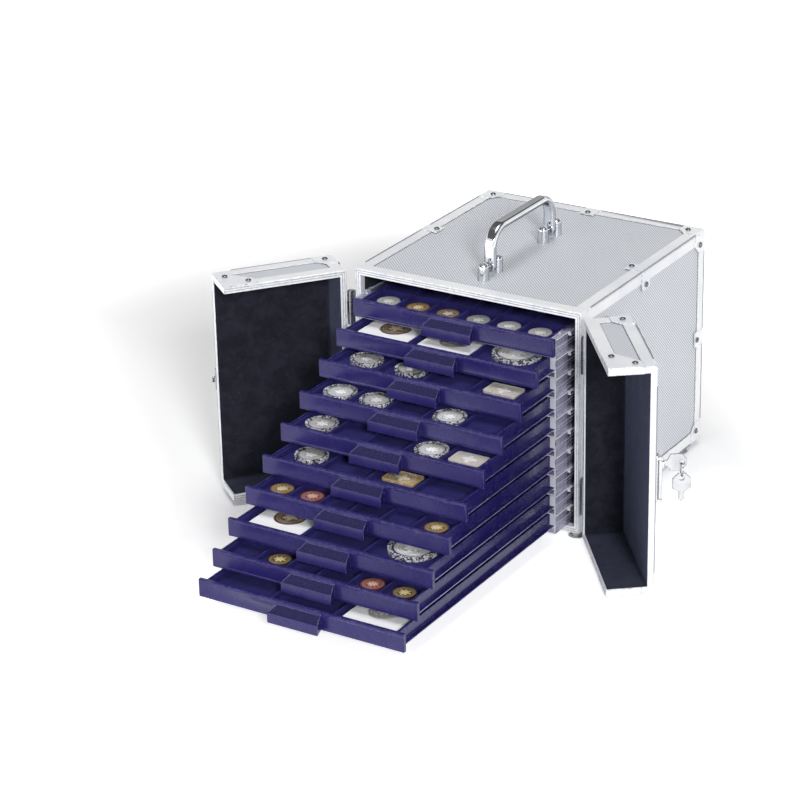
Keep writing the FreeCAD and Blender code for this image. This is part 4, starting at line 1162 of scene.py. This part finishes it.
for number, contents in enumerate(trayContents, 1):
    tag = "%02d" % number
    body = "drawer_" + tag
    low, high, pitch, rows = wellPitch(tag, trayColumns[number - 1])
    side = pitch - insertSettings["wall"]
    z = high.z - insertSettings["depth"]
    y = low.y + insertSettings["wall"] + side / 2
    first = None
    for kind, column, metal in contents:
        x = low.x + insertSettings["wall"] + (column - 1) * pitch + side / 2
        name = kind.replace("big_capsule", "bigCapsule") + tag + "No" + str(column)
        if kind == "coin":
            made = [makeCoin(name, x, y, z, 12.2 * mm, 2.2 * mm, metal)]
        elif kind == "bar":
            made = [makeBar(name, x, y, z, metal)]
        elif kind == "holder":
            made = [makeHolder(name, x, y, z),
                    makeCoin(name + "Coin", x, y, z + 0.35 * mm, 16 * mm, 1.9 * mm, metal)]
        else:
            radius, thick = (value * mm for value in coinSizes[kind])
            made = [makeCapsule(name, x, y, z, radius, thick),
                    makeCoin(name + "Coin", x, y, z + 1.25 * mm, radius * 0.75, thick - 2.6 * mm, metal)]
        for piece in made:
            place(piece, body)
        first = first or made[0]
    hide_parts("coins_" + tag)
print("coins laid in the trays")


# Carrying handle: a bent bar between two brackets of two posts each

handleSettings = {"y": -25.5, "span": 126.0, "width": 13.0, "thick": 8.0, "corner": 3.7, "rise": 38.5,
                  "bend": 21.0, "pivot": 254.3, "seat": 243.3, "postRadius": 5.8, "postHeight": 17.0,
                  "spread": 28.5, "pinRadius": 1.75}


def makeHandleBar():
    s = {key: value * mm for key, value in handleSettings.items()}
    deselectAll()
    startY = s["y"] - s["span"] / 2
    bpy.ops.mesh.primitive_plane_add(size=1, location=(0, startY, s["pivot"]))
    bar = bpy.context.object
    activate(bar)
    bpy.ops.transform.resize(value=(s["width"], s["thick"], 1))
    bpy.ops.object.transform_apply(location=True, rotation=False, scale=True)
    startEdit("VERT")
    bpy.ops.mesh.select_all(action="SELECT")
    bpy.ops.mesh.bevel(offset=s["corner"], segments=8, affect="VERTICES", profile=0.5)
    bpy.ops.mesh.select_mode(type="FACE")
    bpy.ops.mesh.select_all(action="SELECT")
    straight = s["rise"] - s["bend"]
    bendZ = s["pivot"] + straight
    bpy.ops.mesh.extrude_region_move(TRANSFORM_OT_translate={"value": (0, 0, straight)})
    bpy.ops.mesh.spin(steps=14, angle=math.radians(90), center=(0, startY + s["bend"], bendZ), axis=(1, 0, 0))
    bpy.ops.mesh.extrude_region_move(TRANSFORM_OT_translate={"value": (0, s["span"] - 2 * s["bend"], 0)})
    bpy.ops.mesh.spin(steps=14, angle=math.radians(90), center=(0, startY + s["span"] - s["bend"], bendZ),
                      axis=(1, 0, 0))
    bpy.ops.mesh.extrude_region_move(TRANSFORM_OT_translate={"value": (0, 0, -straight)})
    bpy.ops.object.mode_set(mode="OBJECT")
    cleanNormals(bar)
    for end in (0, 1):  # round eyes that the pivot pins pass through
        deselectAll()
        bpy.ops.mesh.primitive_cylinder_add(
            vertices=48, radius=s["width"] / 2, depth=s["thick"],
            location=(0, startY + end * s["span"], s["pivot"]), rotation=(math.radians(90), 0, 0))
        eye = bpy.context.object
        activate(eye)
        bpy.ops.object.transform_apply(location=True, rotation=True, scale=True)
        roundEdges(eye, 1.2 * mm, 4, 50)
        activate(bar)
        union = bar.modifiers.new("eye", "BOOLEAN")
        union.operation = "UNION"
        union.solver = "EXACT"
        union.object = eye
        bpy.ops.object.modifier_apply(modifier="eye")
        removePiece(eye)
    bar = settle(bar, "handleBar")
    smooth(bar, 38)
    return bar


def makePosts():
    s = {key: value * mm for key, value in handleSettings.items()}
    deselectAll()
    bpy.ops.mesh.primitive_cylinder_add(vertices=40, radius=s["postRadius"], depth=s["postHeight"],
                                        location=(0, 0, s["postHeight"] / 2))
    post = bpy.context.object
    activate(post)
    bpy.ops.object.transform_apply(location=True, rotation=False, scale=False)
    pick(lambda middle, run: middle.z > s["postHeight"] * 0.99, "EDGE")
    bpy.ops.mesh.bevel(offset=3.6 * mm, segments=8, profile=0.55)
    bpy.ops.object.mode_set(mode="OBJECT")
    post = settle(post, "postMaster")
    deselectAll()
    bpy.ops.mesh.primitive_cylinder_add(vertices=32, radius=s["pinRadius"], depth=s["spread"],
                                        rotation=(math.radians(90), 0, 0))
    pin = settle(bpy.context.object, "pinMaster")
    pieces = []
    for end in (-1, 1):
        legY = s["y"] + end * s["span"] / 2
        pieces.append(ownCopy(pin, "pin", Matrix.Translation((0, legY, s["pivot"]))))
        for sign in (-1, 1):
            pieces.append(ownCopy(post, "post", Matrix.Translation((0, legY + sign * s["spread"] / 2, s["seat"]))))
    removePiece(post)
    removePiece(pin)
    posts = join(pieces, "handleBrackets")
    smooth(posts, 35)
    return posts


place(paint(makeHandleBar(), chromePlate), "handle", "handle_grip", slot="chrome")
place(paint(makePosts(), chromePlate), "case", "handle_posts", slot="chrome")
print("handle made")


# Feet: turned rubber studs

footSettings = {"x": 126.0, "y": (-133.0, 105.5), "top": 5.5, "tip": 4.0, "height": 5.0}


def makeFeet():
    s = footSettings
    deselectAll()
    bpy.ops.mesh.primitive_cone_add(vertices=36, radius1=s["tip"] * mm, radius2=s["top"] * mm,
                                    depth=s["height"] * mm, location=(0, 0, -s["height"] * mm / 2))
    foot = bpy.context.object
    activate(foot)
    bpy.ops.object.transform_apply(location=True, rotation=False, scale=False)
    pick(lambda middle, run: middle.z < -s["height"] * mm * 0.9, "EDGE")
    bpy.ops.mesh.bevel(offset=1.0 * mm, segments=4, profile=0.5)
    pick(lambda centre, normal: normal.z < -0.9)
    bpy.ops.mesh.inset(thickness=1.2 * mm, depth=0)
    bpy.ops.mesh.inset(thickness=0.3 * mm, depth=-0.5 * mm)
    bpy.ops.object.mode_set(mode="OBJECT")
    foot = settle(foot, "footMaster")
    smooth(foot, 40)
    copies = [ownCopy(foot, "foot", Matrix.Translation((side * s["x"] * mm, y * mm, 0)))
              for side in (-1, 1) for y in s["y"]]
    removePiece(foot)
    return join(copies, "caseFeet")


place(paint(makeFeet(), footRubber), "case", "feet", slot="foot_rubber")
print("feet made")


# Camera, floor and light

cameraSettings = {"lens": 126.0, "place": (1.35285, -2.42275, 1.27632),
                  "azimuth": 0.560827, "elevation": 0.409635, "roll": -0.021239}


def setCamera():
    azimuth, elevation, roll = (cameraSettings[k] for k in ("azimuth", "elevation", "roll"))
    ahead = Vector((-math.sin(azimuth) * math.cos(elevation), math.cos(azimuth) * math.cos(elevation),
                    -math.sin(elevation)))
    right = Vector((math.cos(azimuth), math.sin(azimuth), 0))
    up = right.cross(ahead)
    tiltedRight = math.cos(roll) * right + math.sin(roll) * up
    tiltedUp = -math.sin(roll) * right + math.cos(roll) * up
    turn = Matrix((tiltedRight, tiltedUp, -ahead)).transposed().to_4x4()
    deselectAll()
    bpy.ops.object.camera_add()
    camera = bpy.context.object
    camera.name = "photoCamera"
    camera.data.lens = cameraSettings["lens"]
    camera.data.sensor_width = 36.0
    camera.data.sensor_fit = "HORIZONTAL"
    camera.data.clip_start, camera.data.clip_end = 0.1, 60.0
    camera.matrix_world = Matrix.Translation(cameraSettings["place"]) @ turn
    bpy.context.scene.camera = camera


floorSettings = {"size": 30.0, "z": -0.005, "colour": (0.93, 0.93, 0.935, 1.0), "glow": (0.04, 0.60),
                 "glowFrom": 0.05, "glowTo": 0.22, "farFrom": 0.64, "farTo": 0.95,
                 "leftFrom": -0.54, "leftTo": -0.36, "rightFrom": 0.20, "rightTo": 0.38}


def makeFloor():
    deselectAll()
    bpy.ops.mesh.primitive_plane_add(size=floorSettings["size"], location=(0, 0, floorSettings["z"]))
    floor = settle(bpy.context.object, "studioFloor")
    material = bpy.data.materials.new("studioPaper")
    material.use_nodes = True
    tree = material.node_tree
    shader = tree.nodes["Principled BSDF"]
    shader.inputs["Base Color"].default_value = floorSettings["colour"]
    shader.inputs["Roughness"].default_value = 0.9
    shader.inputs["Specular IOR Level"].default_value = 0.1
    shader.inputs["Emission Color"].default_value = (1, 1, 1, 1)
    light = tree.nodes.new("ShaderNodeLightPath")
    seen = maths(tree, "MAXIMUM", light.outputs["Is Camera Ray"],
                 maths(tree, "MAXIMUM", light.outputs["Is Glossy Ray"], light.outputs["Is Transmission Ray"]))
    where = tree.nodes.new("ShaderNodeTexCoord").outputs["Object"]
    parts = tree.nodes.new("ShaderNodeSeparateXYZ")
    feed(tree, parts.inputs["Vector"], where)
    nearness = maths(tree, "MULTIPLY", maths(tree, "SUBTRACT", parts.outputs["X"], parts.outputs["Y"]), 0.7071)
    low, high = floorSettings["glow"]  # painted light: the floor glows more in front and to the right
    glow = remap(tree, nearness, floorSettings["glowFrom"], floorSettings["glowTo"], low, high)
    reach = tree.nodes.new("ShaderNodeVectorMath")
    reach.operation = "LENGTH"
    feed(tree, reach.inputs[0], where)
    away = remap(tree, reach.outputs["Value"], floorSettings["farFrom"], floorSettings["farTo"], low, high)
    across = maths(tree, "MULTIPLY", maths(tree, "ADD", parts.outputs["X"], parts.outputs["Y"]), 0.7071)
    onLeft = remap(tree, across, floorSettings["leftFrom"], floorSettings["leftTo"], high, low)
    onRight = remap(tree, across, floorSettings["rightFrom"], floorSettings["rightTo"], low, high)
    for beside in (away, onLeft, onRight):  # painted light: glow everywhere but where the object's shadow falls, so that only that shadow stays
        glow = maths(tree, "MAXIMUM", glow, beside)
    feed(tree, shader.inputs["Emission Strength"], maths(tree, "MULTIPLY", seen, glow))
    paint(floor, material)


sunSettings = {
    # name: direction it comes from, strength, spread in degrees
    "keyLight": ((0.65, -0.67, 0.43), 2.1, 12.0),
    "topLight": ((0.0, 0.0, 1.0), 1.4, 30.0),
}
lampSettings = {
    # name: place, aim, size, watts
    "fillBox": ((-1.0, -2.4, 0.45), (0, -0.1, 0.1), 1.4, 24.0),
}


def makeLamps():
    for name, (towards, strength, spread) in sunSettings.items():
        sun = bpy.data.lights.new(name, "SUN")
        sun.energy = strength
        sun.angle = math.radians(spread)
        holder = bpy.data.objects.new(name, sun)
        bpy.context.scene.collection.objects.link(holder)
        holder.rotation_euler = Vector(towards).to_track_quat("Z", "Y").to_euler()
    for name, (at, aim, size, watts) in lampSettings.items():
        lamp = bpy.data.lights.new(name, "AREA")
        lamp.shape = "SQUARE"
        lamp.size = size
        lamp.energy = watts
        holder = bpy.data.objects.new(name, lamp)
        bpy.context.scene.collection.objects.link(holder)
        holder.location = at
        holder.rotation_euler = (Vector(aim) - Vector(at)).to_track_quat("-Z", "Y").to_euler()


worldSettings = {"plain": 0.16, "flag": 0.12, "flagLow": 0.50, "flagHigh": 0.90}


def makeWorld():  # white to the camera and in reflections, but for a dark flag high above the object
    world = bpy.data.worlds.new("studioWorld")
    bpy.context.scene.world = world
    world.use_nodes = True
    tree = world.node_tree
    background = tree.nodes["Background"]
    light = tree.nodes.new("ShaderNodeLightPath")
    height = tree.nodes.new("ShaderNodeSeparateXYZ")
    feed(tree, height.inputs[0], tree.nodes.new("ShaderNodeTexCoord").outputs["Generated"])
    s = worldSettings
    under = remap(tree, height.outputs["Z"], s["flagLow"] - 0.04, s["flagLow"] + 0.04, 1.0, 0.0)
    over = remap(tree, height.outputs["Z"], s["flagHigh"] - 0.03, s["flagHigh"] + 0.03)
    clear = maths(tree, "MAXIMUM", under, over)
    mirrored = maths(tree, "MULTIPLY_ADD", clear, 1.0 - s["flag"], s["flag"])
    seen = maths(tree, "MAXIMUM", light.outputs["Is Camera Ray"], light.outputs["Is Transmission Ray"])
    strength = maths(tree, "MULTIPLY_ADD", seen, 1.0 - s["plain"], s["plain"])
    glossy = light.outputs["Is Glossy Ray"]
    step = maths(tree, "SUBTRACT", mirrored, strength)
    feed(tree, background.inputs["Color"], (1, 1, 1, 1))
    feed(tree, background.inputs["Strength"], maths(tree, "MULTIPLY_ADD", glossy, step, strength))


setCamera()
makeFloor()
makeLamps()
makeWorld()
bpy.context.scene.view_settings.view_transform = "Standard"
print("camera, floor and light set")
